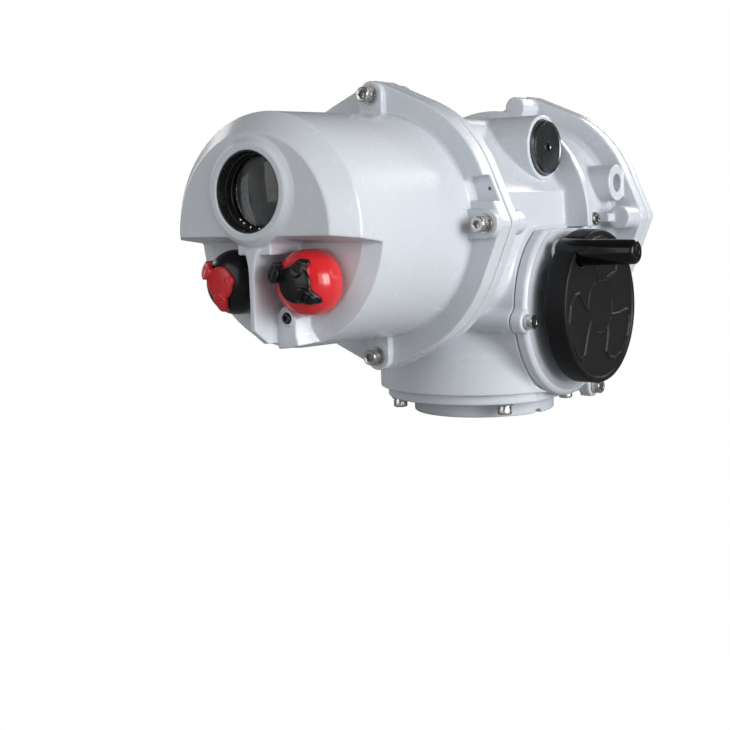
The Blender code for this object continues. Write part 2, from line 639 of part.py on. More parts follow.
def plugs_and_seals():
    plug = turned("oil_plug", [
        (0, 12 * MM), (22.5 * MM, 12 * MM), (25.2 * MM, 10.5 * MM), (25.2 * MM, 3 * MM),
        (18.8 * MM, 3 * MM), (18.8 * MM, -10 * MM), (0, -10 * MM)],
        Vector((67 * MM, PLUG_Y, PLUG_Z)), X, 24)
    cut(plug, rod("plug_socket", 3.5 * MM, (72 * MM, PLUG_Y, PLUG_Z), (82 * MM, PLUG_Y, PLUG_Z), 6))
    part(plug, DARK_STEEL)
    for label, z in zip(("lower", "upper"), CONDUIT_HEIGHTS):
        stem = rod("conduit_plug_" + label, 15 * MM, (-92 * MM, CONDUIT_Y, z),
                   (-110 * MM, CONDUIT_Y, z), SMALL)
        head = rod("conduit_head", 20 * MM, (-108.3 * MM, CONDUIT_Y, z),
                   (-117 * MM, CONDUIT_Y, z), 6)
        part(join(stem, head), DARK_STEEL)
    part(ring("drive_seal", 38 * MM, SLEEVE_R + TURN_GAP, (0, 0, 16 * MM), (0, 0, 24 * MM), 24),
         BLACK_RUBBER)
    part(ring("handwheel_shaft_seal", 14 * MM, 8 * MM + TURN_GAP, (88.4 * MM, 0, HAND_Z),
              (95 * MM, 0, HAND_Z), SMALL), BLACK_RUBBER)


def bearings():
    """Sealed bearings, each one plain ring."""
    part(ring("lower_drive_bearing", 44 * MM, SLEEVE_R + TURN_GAP, (0, 0, 28 * MM),
              (0, 0, 42 * MM), 28), STEEL)
    part(ring("upper_drive_bearing", 28 * MM, SLEEVE_UPPER_R + TURN_GAP, (0, 0, 249 * MM),
              (0, 0, 260 * MM), 24), STEEL)
    part(ring("handwheel_bearing", 17 * MM, 8 * MM + TURN_GAP, (74.3 * MM, 0, HAND_Z),
              (84 * MM, 0, HAND_Z), SMALL), STEEL)
    for label, y in (("front", FRONT_WALL_Y + 3.4 * MM), ("rear", REAR_WALL_Y + 2 * MM)):
        part(ring("worm_bearing_" + label, 13 * MM, 7 * MM + TURN_GAP, (WORM_X, y, BODY_Z),
                  (WORM_X, y + 8 * MM, BODY_Z), SMALL), STEEL)


def fasteners():
    flat_and_spring = ((8 * MM, 1.8 * MM), (6.2 * MM, 2.2 * MM))
    flat = ((8 * MM, 1.6 * MM),)
    rear_face = REAR_JOINT_Y + JOINT_HALF + 12 * MM
    for degrees, label in QUARTERS:
        part(socket_bolt("control_cover_bolt_" + label,
                         on_body(degrees, FLANGE_BOLT_R, COVER_BOSS_Y - GAP), -Y, 36 * MM,
                         washers=flat_and_spring), STEEL)
        part(socket_bolt("rear_cover_bolt_" + label,
                         on_body(degrees, FLANGE_BOLT_R, rear_face + GAP), Y, 26 * MM), STEEL)
    for number, degrees in enumerate((45, 135, 225, 315), 1):
        x, y = polar(degrees, BASE_BOLT_R)
        part(socket_bolt("base_bolt_%d" % number, (x, y, BASE_RING_Z - GAP), -Z, 24 * MM,
                         washers=flat), STEEL)
    for number, (degrees, radius) in enumerate(HAND_BOLTS, 1):
        part(socket_bolt("handwheel_flange_bolt_%d" % number,
                         on_hand(degrees, radius * MM, HAND_FLANGE_FRONT_X + GAP), X, 14 * MM),
             STEEL)
    post = Vector((SCREW_X, POST_FRONT_Y - GAP, SCREW_Z))
    part(socket_bolt("knob_lock_screw", post, -Y, 14 * MM, 7 * MM), DARK_STEEL)


# Window, display and electronics

def window_and_display():
    centre = Vector((0, 0, WINDOW_Z))
    glass = [(0, -326.6 * MM), (WINDOW_R - GAP, -326.6 * MM), (WINDOW_R - GAP, -317.6 * MM),
             (33.6 * MM, -317.6 * MM), (33.6 * MM, -314 * MM), (0, -314 * MM)]
    part(turned("window_glass", glass, centre, Y), GLASS)
    retainer = [
        (33.6 * MM, -313.7 * MM), (29 * MM, -313.7 * MM), (25.5 * MM, -303 * MM),
        (25.5 * MM, -301 * MM), (33.6 * MM, -301 * MM)]
    part(turned("window_retainer", retainer, centre, Y, 24), BLACK_PLASTIC)
    part(rod("display_module", 32 * MM, centre - Y * 300.7 * MM, centre - Y * 294 * MM, 40),
         DISPLAY)


def electronics():
    """Boards on one chassis plate inside the control cover."""
    axis = Vector((0, 0, BODY_Z))
    plate = rod("electronics_plate", 82 * MM, axis - Y * 152 * MM, axis - Y * 149 * MM)
    cut(plate, box("cable_slot", (-30 * MM, -0.2, 105 * MM), (30 * MM, -0.1, 120 * MM)))
    for x in (-52 * MM, 52 * MM):
        for z in (BODY_Z - 36 * MM, BODY_Z + 36 * MM):
            join(plate, rod("standoff", 3.5 * MM, (x, -236 * MM, z), (x, -150 * MM, z), 6))
    part(plate, ALUMINIUM)
    board = box("power_board", (-62 * MM, -238 * MM, BODY_Z - 45 * MM),
                (62 * MM, -236.3 * MM, BODY_Z + 45 * MM))
    join(board,
         box("relay_left", (-50 * MM, -256 * MM, BODY_Z - 20 * MM), (-22 * MM, -237 * MM, BODY_Z)),
         box("relay_right", (-14 * MM, -256 * MM, BODY_Z - 20 * MM), (14 * MM, -237 * MM, BODY_Z)),
         box("heat_sink", (24 * MM, -252 * MM, BODY_Z - 30 * MM),
             (50 * MM, -237 * MM, BODY_Z + 30 * MM)))
    part(board, BOARD_GREEN)
    core = box("transformer", (-30 * MM, -212 * MM, BODY_Z - 28 * MM),
               (30 * MM, -172 * MM, BODY_Z + 28 * MM))
    coil = box("coil", (-20 * MM, -220 * MM, BODY_Z - 18 * MM),
               (20 * MM, -164 * MM, BODY_Z + 18 * MM))
    part(bevel(join(core, coil), 1 * MM), COPPER)
    part(box("sensor_board", (-52 * MM, -277 * MM, KNOB_Z - 16 * MM),
             (52 * MM, -275.4 * MM, KNOB_Z + 16 * MM)), BOARD_GREEN)
    strip = box("terminal_block", (12 * MM, 66 * MM, BODY_Z - 34 * MM),
                (40 * MM, 100 * MM, BODY_Z + 34 * MM))
    for i in range(6):
        z = BODY_Z + (i - 2.5) * 11 * MM
        cut(strip, box("wire_way", (18 * MM, 90 * MM, z - 3.5 * MM), (34 * MM, 104 * MM, z + 3.5 * MM)))
    part(strip, GREY_PLASTIC)


# Knobs

def dome_profile(offset=0.0):
    """Half section of a knob's dome from its shoulder to its crown, as (radius, y)."""
    rise = KNOB_CROWN_Y - offset - KNOB_SHOULDER_Y
    points = [(KNOB_R + offset, KNOB_SHOULDER_Y)]
    for step in range(1, 5):
        angle = math.radians(22.5 * step)
        radius = (KNOB_R + offset) * math.cos(angle) ** 0.75 if step < 4 else 0
        points.append((radius, KNOB_SHOULDER_Y + rise * math.sin(angle)))
    return points


def knob(name, side, dome_material, claw_material, arm_angles):
    """A domed knob with a three-armed claw, turning on a spigot of the control cover."""
    centre = Vector((side * KNOB_X, 0, KNOB_Z))
    pivot = joint_axis(name + "_axis", centre + Y * RECESS_Y)
    root_y = RECESS_Y - 0.6 * MM
    root = [(0, root_y), (KNOB_NECK_R, root_y), (KNOB_NECK_R, -291 * MM), (KNOB_R, -292 * MM)]
    dome = turned(name + "_knob", root + dome_profile(), centre, Y, 24)
    cut(dome, rod("knob_bore", 5.4 * MM, centre - Y * 299 * MM, centre - Y * 280 * MM, SMALL))
    part(dome, dome_material, pivot)
    outer = [(0, -296 * MM), (KNOB_R + 5 * MM, -296 * MM)] + dome_profile(5 * MM)
    inner = [(0, -290 * MM), (KNOB_R + 0.5 * MM, -290 * MM)] + dome_profile(0.5 * MM)
    claw = turned(name + "_claw", outer, centre, Y, 24)
    star = rod("hub", 13.5 * MM, centre - Y * 335 * MM, centre - Y * 292 * MM, SMALL)
    for degrees in arm_angles:
        arm = box("arm", (0, -335 * MM, -5 * MM), (24.5 * MM, -297 * MM, 5 * MM))
        turn = Matrix.Rotation(-math.radians(degrees), 4, "Y")
        arm.matrix_world = Matrix.Translation(centre) @ turn @ arm.matrix_world
        tip = rod("arm_tip", 6.5 * MM, centre - Y * 335 * MM, centre - Y * 297 * MM, 14)
        x, z = polar(degrees, 22.5 * MM)
        tip.location += Vector((x, 0, z))
        join(star, arm, tip)
    cut(keep_inside(claw, star), turned("claw_inside", inner, centre, Y, 24))
    part(claw, claw_material, pivot)


def knobs():
    knob("selector", 1, RED_PLASTIC, BLACK_PLASTIC, (148, 72, -42))
    knob("command", -1, BLACK_PLASTIC, RED_PLASTIC, (140, 15, -78))


# Handwheel

def handwheel():
    pivot = joint_axis("handwheel_axis", (WHEEL_FRONT_X, 0, HAND_Z))
    axis = Vector((0, 0, HAND_Z))
    profile = [
        (8.4 * MM, WHEEL_BACK_X), (18 * MM, WHEEL_BACK_X), (20 * MM, 119 * MM), (58 * MM, 119 * MM),
        (63 * MM, WHEEL_BACK_X), (WHEEL_R, WHEEL_BACK_X), (WHEEL_R, WHEEL_FRONT_X - 1.5 * MM),
        (WHEEL_R - 1.5 * MM, WHEEL_FRONT_X), (WHEEL_R - 4.5 * MM, WHEEL_FRONT_X),
        (WHEEL_R - 5.5 * MM, WHEEL_FRONT_X - 1.2 * MM), (22 * MM, WHEEL_FRONT_X - 1.2 * MM),
        (22 * MM, WHEEL_FRONT_X - 2.5 * MM), (8.4 * MM, WHEEL_FRONT_X - 2.5 * MM),
    ]
    disc = turned("handwheel_disc", profile, axis, X)
    seat = rod("grip_seat", 18 * MM, (WHEEL_BACK_X + 0.5 * MM, GRIP_Y, GRIP_Z),
               (WHEEL_FRONT_X - 3 * MM, GRIP_Y, GRIP_Z), SMALL)
    keep_inside(seat, rod("rim_keep", WHEEL_R - 2.5 * MM, (WHEEL_BACK_X - 5 * MM, 0, HAND_Z),
                          (0.14, 0, HAND_Z)))
    join(disc, seat)
    cut(disc, rod("grip_notch", 13.2 * MM, (0.09, GRIP_Y, GRIP_Z), (0.14, GRIP_Y, GRIP_Z), SMALL))
    part(disc, BLACK_PLASTIC, pivot)
    cap = [(0, WHEEL_FRONT_X - 2.2 * MM), (21 * MM, WHEEL_FRONT_X - 2.2 * MM),
           (21 * MM, WHEEL_FRONT_X - 0.8 * MM), (19.5 * MM, WHEEL_FRONT_X), (0, WHEEL_FRONT_X)]
    part(turned("handwheel_hub_cap", cap, axis, X, 40), BLACK_PLASTIC, pivot)
    shaft = [(0, 31 * MM), (6 * MM, 31 * MM), (8 * MM, 33 * MM), (8 * MM, WHEEL_FRONT_X - 4 * MM),
             (0, WHEEL_FRONT_X - 4 * MM)]
    part(turned("handwheel_shaft", shaft, axis, X, SMALL), STEEL, pivot)
    pinion = toothed("hand_pinion", 10, 12.4 * MM, 10 * MM, 0, 14 * MM, 1.37)
    pinion.matrix_world = Matrix.Translation((38 * MM, 0, HAND_Z)) @ turn_to(X)
    cut(pinion, rod("pinion_bore", 8.4 * MM, (30 * MM, 0, HAND_Z), (60 * MM, 0, HAND_Z), SMALL))
    part(pinion, STEEL, pivot)
    pin = rod("handle_pin", 4 * MM, (104 * MM, GRIP_Y, GRIP_Z), (152 * MM, GRIP_Y, GRIP_Z), 12)
    join(pin, rod("pin_plate", 11.5 * MM, (102.5 * MM, GRIP_Y, GRIP_Z),
                  (WHEEL_BACK_X - GAP, GRIP_Y, GRIP_Z), SMALL))
    part(pin, STEEL, pivot)
    handle_grip()


def handle_grip():
    """Revolving grip; it stands out from the wheel's rim and turns on the handle pin."""
    centre = Vector((0, GRIP_Y, GRIP_Z))
    pivot = joint_axis("handle_axis", centre + X * WHEEL_FRONT_X)
    root, crown = 12.4 * MM, 10.5 * MM
    profile = [(0, WHEEL_BACK_X), (root - 1 * MM, WHEEL_BACK_X), (root, WHEEL_BACK_X + 1 * MM),
               (crown, GRIP_END_X - 3 * MM), (crown - 2.5 * MM, GRIP_END_X - 0.6 * MM),
               (5 * MM, GRIP_END_X), (4.5 * MM, GRIP_END_X - 1 * MM), (0, GRIP_END_X - 1 * MM)]
    grip = turned("handle_grip", profile, centre, X, SMALL)
    cut(grip, rod("grip_bore", 5.2 * MM, (0.1, GRIP_Y, GRIP_Z), (155 * MM, GRIP_Y, GRIP_Z), TINY))
    part(grip, BLACK_PLASTIC, pivot)


# Drive train

def drive_train():
    pivot = joint_axis("drive_axis", (0, 0, BODY_Z))
    sleeve = [
        (SLEEVE_UPPER_R, 262 * MM), (SLEEVE_UPPER_R, 62 * MM), (SLEEVE_R, 60 * MM),
        (SLEEVE_R, 6 * MM), (BUSH_R + 0.4 * MM, 6 * MM), (BUSH_R + 0.4 * MM, 50 * MM),
        (13 * MM, 50 * MM), (13 * MM, 262 * MM),
    ]
    part(turned("drive_sleeve", sleeve, ORIGIN, Z, 24), STEEL, pivot)
    bush = rod("drive_bush", BUSH_R, (0, 0, 0), (0, 0, 49 * MM), 24)
    part(bush, BRONZE, pivot)
    wheel = toothed("worm_wheel", 20, 34 * MM, 31 * MM, 168 * MM, 188 * MM)
    cut(wheel, rod("wheel_bore", SLEEVE_UPPER_R + GAP, (0, 0, 160 * MM), (0, 0, 200 * MM), 24))
    part(wheel, BRONZE, pivot)

    clutch_pivot = joint_axis("clutch_axis", (0, 0, 150 * MM))
    clutch = turned("clutch_ring", [
        (31 * MM, 162 * MM), (31 * MM, 156 * MM), (27 * MM, 155 * MM), (27 * MM, 148 * MM),
        (31 * MM, 147 * MM), (31 * MM, 142 * MM), (SLEEVE_UPPER_R + 0.5 * MM, 142 * MM),
        (SLEEVE_UPPER_R + 0.5 * MM, 162 * MM)], ORIGIN, Z, 20)
    for i in range(2):
        slot = box("dog_slot", (-40 * MM, -4 * MM, 160 * MM), (40 * MM, 4 * MM, 165 * MM))
        slot.matrix_world = Matrix.Rotation(math.radians(90 * i), 4, "Z") @ slot.matrix_world
        cut(clutch, slot)
    part(clutch, STEEL, clutch_pivot)

    gear_pivot = joint_axis("hand_gear_axis", (0, 0, 80 * MM))
    face = turned("gear_face", [(0, 88 * MM), (32 * MM, 88 * MM), (54 * MM, 80.6 * MM),
                                (54 * MM, 70 * MM), (0, 70 * MM)], ORIGIN, Z, 20)
    crown = toothed("hand_gear", 20, 52 * MM, 49 * MM, 72 * MM, 90 * MM)
    keep_inside(crown, face)
    join(crown, rod("gear_hub", 26 * MM, (0, 0, 66 * MM), (0, 0, 108 * MM), 24))
    cut(crown, rod("gear_bore", SLEEVE_UPPER_R + 0.4 * MM, (0, 0, 60 * MM), (0, 0, 120 * MM), 24))
    part(crown, STEEL, gear_pivot)


def motor():
    pivot = joint_axis("worm_axis", (WORM_X, 0, BODY_Z))
    centre = Vector((WORM_X, 0, BODY_Z))
    thread = 22 * MM
    profile = [(0, -67 * MM), (7 * MM, -67 * MM), (7 * MM, -32 * MM), (8.5 * MM, -30 * MM)]
    turns = 4
    pitch = 2 * thread / turns
    for i in range(turns):
        start = -thread + i * pitch
        profile += [(8.5 * MM, start + 0.1 * pitch), (11 * MM, start + 0.35 * pitch),
                    (11 * MM, start + 0.65 * pitch), (8.5 * MM, start + 0.9 * pitch)]
    profile += [(8.5 * MM, 30 * MM), (7 * MM, 32 * MM), (7 * MM, 124 * MM), (0, 124 * MM)]
    part(turned("worm_shaft", profile, centre, Y, 12), STEEL, pivot)
    part(ring("motor_rotor", 19.5 * MM, 7.4 * MM, centre + Y * 62 * MM, centre + Y * 116 * MM, SMALL),
         COPPER, pivot)
    stator = ring("motor_stator", 33.5 * MM, 20.6 * MM, centre + Y * 58 * MM,
                  centre + Y * 118 * MM, 24)
    part(stator, LAMINATION)


gearcase()
control_cover()
rear_cover()
joint_seal("front_joint_seal", FRONT_JOINT_Y)
joint_seal("rear_joint_seal", REAR_JOINT_Y)
base_plate()
handwheel_flange()
plugs_and_seals()
bearings()
fasteners()
window_and_display()
electronics()
knobs()
handwheel()
drive_train()
motor()
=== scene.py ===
"""Looks of the motorized valve actuator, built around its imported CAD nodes.

Castings are sampled as signed distance fields in millimetres, so that every boss, rib and flange
flows into its neighbour with a cast fillet. Machined and moulded pieces are turned meshes.
"""
import math

import bmesh
import bpy
import numpy as np
from mathutils import Matrix, Vector


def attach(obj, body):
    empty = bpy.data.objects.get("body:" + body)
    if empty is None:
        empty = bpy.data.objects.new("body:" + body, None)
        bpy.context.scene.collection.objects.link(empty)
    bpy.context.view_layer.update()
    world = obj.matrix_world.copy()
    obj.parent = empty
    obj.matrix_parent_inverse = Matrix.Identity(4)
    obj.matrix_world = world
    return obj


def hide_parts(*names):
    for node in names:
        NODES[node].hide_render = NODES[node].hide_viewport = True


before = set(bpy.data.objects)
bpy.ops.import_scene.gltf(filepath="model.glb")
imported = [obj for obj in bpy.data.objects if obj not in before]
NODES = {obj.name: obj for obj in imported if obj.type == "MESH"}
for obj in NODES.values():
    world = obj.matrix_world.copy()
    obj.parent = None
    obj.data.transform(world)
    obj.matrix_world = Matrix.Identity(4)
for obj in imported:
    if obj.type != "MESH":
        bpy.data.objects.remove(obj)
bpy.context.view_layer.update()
MM = 0.001
COARSE = 1.0

# Driving dimensions in millimetres, the same as the CAD
BODY_Z = 178.0
FLANGE_R, FLANGE_TIP_R, FLANGE_CORNER, FLANGE_BOLT_R = 114.0, 123.5, 6.0, 111.0
COVER_BACK_Y, COVER_FLANGE_Y, COVER_BOSS_Y = -147.2, -163.0, -168.5
COVER_FRONT_Y, RECESS_Y, RECESS_LIP_Y = -323.0, -286.0, -280.0
WINDOW_Z, WINDOW_R = 208.2, 31.4
KNOB_X, KNOB_Z, KNOB_R, KNOB_SHOULDER_Y, KNOB_CROWN_Y = 36.0, 138.5, 25.5, -302.0, -320.5
SCREW_X, SCREW_Z, POST_FRONT_Y = 13.5, 111.0, -300.0
CASE_FRONT_Y, CASE_REAR_Y = -146.0, 111.4
FLAT_X, FLAT_FRONT_Y, BAND_Y, BAND_R = 80.0, -106.0, 21.0, 105.5
BASE_R, BASE_RING_R, SPIGOT_R, BASE_BOLT_R = 98.0, 91.0, 66.4, 81.0
LEDGE_Z = 170.0                              # flat top of the handwheel flange
HAND_Z, HAND_FLANGE_R, HAND_SEAT_X, HAND_FRONT_X = 99.6, 82.0, 83.7, 96.0
HAND_BOLTS = ((186, 81.0), (298, 90.0), (62, 88.0))
WHEEL_BACK_X, WHEEL_FRONT_X, WHEEL_R = 106.0, 128.0, 69.3
GRIP_Y, GRIP_Z, GRIP_END_X = -33.5, 149.4, 180.0
PLUG_Y, PLUG_Z = -2.0, 244.5
LUG_Y, LUG_Z, LUG_X = 86.0, 211.0, 104.0
CONDUIT_Y, CONDUIT_Z = 66.0, (145.0, 211.0)
WORM_X = -45.5
QUARTERS = ((0, "right"), (90, "top"), (180, "left"), (270, "bottom"))      # the flange ears
DIAGONALS = (45, 135, 225, 315)              # the base bolts
HOLE_R = 4.9                                 # holes for the 8 mm screws
DOME_POWER = 0.74                            # how squarely a knob's dome turns its corner
CENTRE = (0, 0)                              # the drive axis, seen from above


def polar(degrees, radius):
    angle = math.radians(degrees)
    return radius * math.cos(angle), radius * math.sin(angle)


# Distance fields for castings

def soft_min(a, b, blend):
    if blend <= 0:
        return np.minimum(a, b)
    share = np.maximum(blend - np.abs(a - b), 0) / blend
    return np.minimum(a, b) - share * share * (blend * 0.25)


def rounded(across, along, edge):
    """Distance of a solid from its distances across and along, with an edge radius."""
    across, along = across + edge, along + edge
    outside = np.sqrt(np.maximum(across, 0) ** 2 + np.maximum(along, 0) ** 2)
    return np.minimum(np.maximum(across, along), 0) + outside - edge


def polygon_distance(points, u, w):
    """Signed distance in a plane to a closed polygon, negative inside."""
    nearest = np.full(np.broadcast(u, w).shape, 1e9, np.float32)
    sign = np.ones(nearest.shape, np.float32)
    previous = points[-1]
    for point in points:
        eu, ew = previous[0] - point[0], previous[1] - point[1]
        pu, pw = u - point[0], w - point[1]
        share = np.clip((pu * eu + pw * ew) / max(eu * eu + ew * ew, 1e-9), 0, 1)
        nearest = np.minimum(nearest, (pu - eu * share) ** 2 + (pw - ew * share) ** 2)
        above = w >= point[1]
        below = w < previous[1]
        left = eu * pw > ew * pu
        flip = (above & below & left) | (~above & ~below & ~left)
        sign = np.where(flip, -sign, sign)
        previous = point
    return sign * np.sqrt(nearest)


def split(axis, x, y, z):
    """The coordinate along an axis and the two across it."""
    along = (x, y, z)[axis]
    across = [c for i, c in enumerate((x, y, z)) if i != axis]
    return along, across[0], across[1]


def corners(axis, centre, reach, start, end):
    low, high = [0, 0, 0], [0, 0, 0]
    others = [i for i in range(3) if i != axis]
    low[axis], high[axis] = min(start, end), max(start, end)
    for i, c in zip(others, centre):
        low[i], high[i] = c - reach, c + reach
    return low, high


def rod(axis, centre, radius, start, end, edge=1.0, end_radius=None):
    """A bar along an axis, straight or tapered; centre is its place in the other two directions."""
    end_radius = radius if end_radius is None else end_radius
    middle, half = (start + end) / 2, abs(end - start) / 2

    def distance(x, y, z):
        t, u, w = split(axis, x, y, z)
        size = radius + (end_radius - radius) * np.clip((t - start) / (end - start), 0, 1)
        across = np.sqrt((u - centre[0]) ** 2 + (w - centre[1]) ** 2) - size
        return rounded(across, np.abs(t - middle) - half, edge)
    return (distance, *corners(axis, centre, max(radius, end_radius), start, end))


def lathe(axis, centre, profile):
    """A turned solid; profile holds (radius, place along the axis) points."""
    reach = max(p[0] for p in profile)
    low_t, high_t = min(p[1] for p in profile), max(p[1] for p in profile)

    def distance(x, y, z):
        t, u, w = split(axis, x, y, z)
        radius = np.sqrt((u - centre[0]) ** 2 + (w - centre[1]) ** 2)
        cell = 0.5
        radii = np.arange(0, float(radius.max()) + 2 * cell, cell, dtype=np.float32)
        mirrored = profile + [(-r, h) for r, h in reversed(profile)]
        table = polygon_distance(mirrored, radii[:, None], t.ravel()[None, :])
        place = np.squeeze(radius, axis) / cell
        index = place.astype(np.int32)
        share = (place - index)[..., None]
        values = table[index] * (1 - share) + table[index + 1] * share
        return np.moveaxis(values, -1, axis)
    return (distance, *corners(axis, centre, reach, low_t, high_t))


def prism(axis, outline, reach, centre, start, end, edge=1.0, draft=0.0, draft_from=None):
    """An outline, given as a distance function in its plane, pushed along an axis."""
    middle, half = (start + end) / 2, abs(end - start) / 2

    def distance(x, y, z):
        t, u, w = split(axis, x, y, z)
        across = outline(u, w)
        if draft:
            across = across - draft * np.maximum(t - draft_from, 0)
        return rounded(across, np.abs(t - middle) - half, edge)
    return (distance, *corners(axis, centre, reach, start, end))


def block(low, high, edge=1.0):
    middle = [(a + b) / 2 for a, b in zip(low, high)]
    half = [(b - a) / 2 - edge for a, b in zip(low, high)]

    def distance(x, y, z):
        q = [np.abs(c - m) - h for c, m, h in zip((x, y, z), middle, half)]
        outside = np.sqrt(sum(np.maximum(c, 0) ** 2 for c in q))
        return outside + np.minimum(np.maximum(np.maximum(q[0], q[1]), q[2]), 0) - edge
    return distance, list(low), list(high)


def common(first, *others, blend=0.0):
    """What shapes have in common; the first one's box bounds the result."""
    def distance(x, y, z):
        value = first[0](x, y, z)
        for other in others:
            value = -soft_min(-value, -other[0](x, y, z), blend)
        return value
    return distance, first[1], first[2]


def outside(shape, low=None, high=None):
    """Everything that a shape leaves free."""
    return (lambda x, y, z: -shape[0](x, y, z), low, high)


def half_space(normal, point):
    """The side of a plane that its normal points away from."""
    length = math.sqrt(sum(c * c for c in normal))
    n = [c / length for c in normal]
    offset = sum(a * b for a, b in zip(n, point))
    return (lambda x, y, z: n[0] * x + n[1] * y + n[2] * z - offset, None, None)


class Casting:
    """A solid on a grid of distances, in millimetres, that becomes one smooth mesh."""

    def __init__(self, low, high, step):
        self.step = step * COARSE
        self.low = np.array(low, np.float32)
        count = [int(math.ceil((b - a) / self.step)) + 1 for a, b in zip(low, high)]
        self.value = np.full(count, 40.0, np.float32)

    def window(self, low, high, margin):
        spans, axes = [], []
        for i in range(3):
            first = max(0, int((low[i] - margin - self.low[i]) / self.step))
            last = int((high[i] + margin - self.low[i]) / self.step) + 2
            last = min(self.value.shape[i], max(last, first + 1))
            spans.append(slice(first, last))
            shape = [1, 1, 1]
            shape[i] = last - first
            ticks = self.low[i] + self.step * np.arange(first, last, dtype=np.float32)
            axes.append(ticks.reshape(shape))
        return tuple(spans), axes

    def add(self, shape, blend=0.0):
        spans, axes = self.window(shape[1], shape[2], blend + 3 * self.step)
        self.value[spans] = soft_min(self.value[spans], shape[0](*axes), blend)

    def cut(self, shape, blend=0.0):
        spans, axes = self.window(shape[1], shape[2], blend + 3 * self.step)
        self.value[spans] = -soft_min(-self.value[spans], shape[0](*axes), blend)

    def soften(self):
        """Round every edge by about one cell."""
        for axis in range(3):
            v = np.moveaxis(self.value, axis, 0)
            v[1:-1] = v[1:-1] * 0.5 + (v[:-2] + v[2:]) * 0.25

    def sample(self, points):
        """Distance and gradient at points given in cells."""
        size = np.array(self.value.shape) - 2
        base = np.clip(points.astype(np.int32), 0, size)
        f = np.clip(points - base, 0, 1)
        total = np.zeros(len(points))
        slope = np.zeros((len(points), 3))
        for i in (0, 1):
            for j in (0, 1):
                for k in (0, 1):
                    v = self.value[base[:, 0] + i, base[:, 1] + j, base[:, 2] + k]
                    w = [f[:, a] if b else 1 - f[:, a] for a, b in enumerate((i, j, k))]
                    sign = [1 if b else -1 for b in (i, j, k)]
                    total += v * w[0] * w[1] * w[2]
                    slope[:, 0] += v * sign[0] * w[1] * w[2]
                    slope[:, 1] += v * w[0] * sign[1] * w[2]
                    slope[:, 2] += v * w[0] * w[1] * sign[2]
        return total, slope / self.step

    def surface(self):
        """Points and quads of the zero surface, one point per cell that it crosses."""
        value = self.value
        inside = value < 0
        nx, ny, nz = value.shape
        ends = [(i, j, k) for i in (0, 1) for j in (0, 1) for k in (0, 1)]
        total = np.zeros((nx - 1, ny - 1, nz - 1), np.int8)
        for i, j, k in ends:
            total += inside[i:nx - 1 + i, j:ny - 1 + j, k:nz - 1 + k]
        crossed = (total > 0) & (total < 8)
        cells = np.argwhere(crossed)
        index = np.full(crossed.shape, -1, np.int32)
        index[crossed] = np.arange(len(cells))
        at = {c: value[cells[:, 0] + c[0], cells[:, 1] + c[1], cells[:, 2] + c[2]] for c in ends}
        points = np.zeros((len(cells), 3))
        hits = np.zeros(len(cells))
        for axis in range(3):
            for c in ends:
                if c[axis]:
                    continue
                d = tuple(1 if i == axis else c[i] for i in range(3))
                a, b = at[c], at[d]
                cross = (a < 0) != (b < 0)
                share = a[cross] / (a[cross] - b[cross])
                points[cross] += c
                points[cross, axis] += share
                hits[cross] += 1
        points = cells + points / hits[:, None]
        for _ in range(3):
            distance, slope = self.sample(points)
            length = np.maximum((slope ** 2).sum(1), 0.2)
            move = -(distance / length)[:, None] * slope / self.step
            points += np.clip(move, -0.3, 0.3)
        normals = np.zeros_like(points)
        for shift in ((0.4, 0.4, 0.4), (0.4, -0.4, -0.4), (-0.4, 0.4, -0.4), (-0.4, -0.4, 0.4)):
            normals += self.sample(points + shift)[1]
        normals /= np.maximum(np.sqrt((normals ** 2).sum(1)), 1e-6)[:, None]
        quads = []
        for axis in range(3):
            one, two = [(1, 2), (2, 0), (0, 1)][axis]
            lower = [slice(1, -1)] * 3
            upper = [slice(1, -1)] * 3
            lower[axis], upper[axis] = slice(0, -1), slice(1, None)
            a, b = inside[tuple(lower)], inside[tuple(upper)]
            for starts, found in ((True, a & ~b), (False, ~a & b)):
                spots = np.argwhere(found)
                ring = []
                for s, t in ((0, 0), (1, 0), (1, 1), (0, 1)):
                    spot = spots.copy()
                    spot[:, one] += s
                    spot[:, two] += t
                    ring.append(index[spot[:, 0], spot[:, 1], spot[:, 2]])
                if not starts:
                    ring.reverse()
                quads.append(np.stack(ring, 1))
        return self.low + points * self.step, np.concatenate(quads), normals


def casting_object(name, casting, soft=True):
    if soft:
        casting.soften()
    points, quads, normals = casting.surface()
    mesh = bpy.data.meshes.new(name)
    mesh.vertices.add(len(points))
    mesh.vertices.foreach_set("co", (points * MM).astype(np.float32).ravel())
    mesh.loops.add(len(quads) * 4)
    mesh.loops.foreach_set("vertex_index", quads.astype(np.int32).ravel())
    mesh.polygons.add(len(quads))
    mesh.polygons.foreach_set("loop_start", np.arange(0, len(quads) * 4, 4, dtype=np.int32))
    mesh.update(calc_edges=True)
    mesh.shade_smooth()
    mesh.normals_split_custom_set_from_vertices(normals.tolist())
    obj = bpy.data.objects.new(name, mesh)
    bpy.context.scene.collection.objects.link(obj)
    return obj


# Turned meshes

def ring_points(radius, height, kind, count):
    """One ring of a turned mesh: round, knurled or hexagonal."""
    points = []
    for i in range(count):
        angle = 2 * math.pi * i / count
        r = radius
        if kind == "knurl":
            r = radius * (1 - 0.025 * (i % 2))
        elif kind == "hex":
            r = radius * math.cos(math.pi / 6) / math.cos((angle % (math.pi / 3)) - math.pi / 6)
        points.append((r * math.cos(angle), r * math.sin(angle), height))
    return points


def turn_to(axis):
    return Vector((0, 0, 1)).rotation_difference(Vector(axis)).to_matrix().to_4x4()


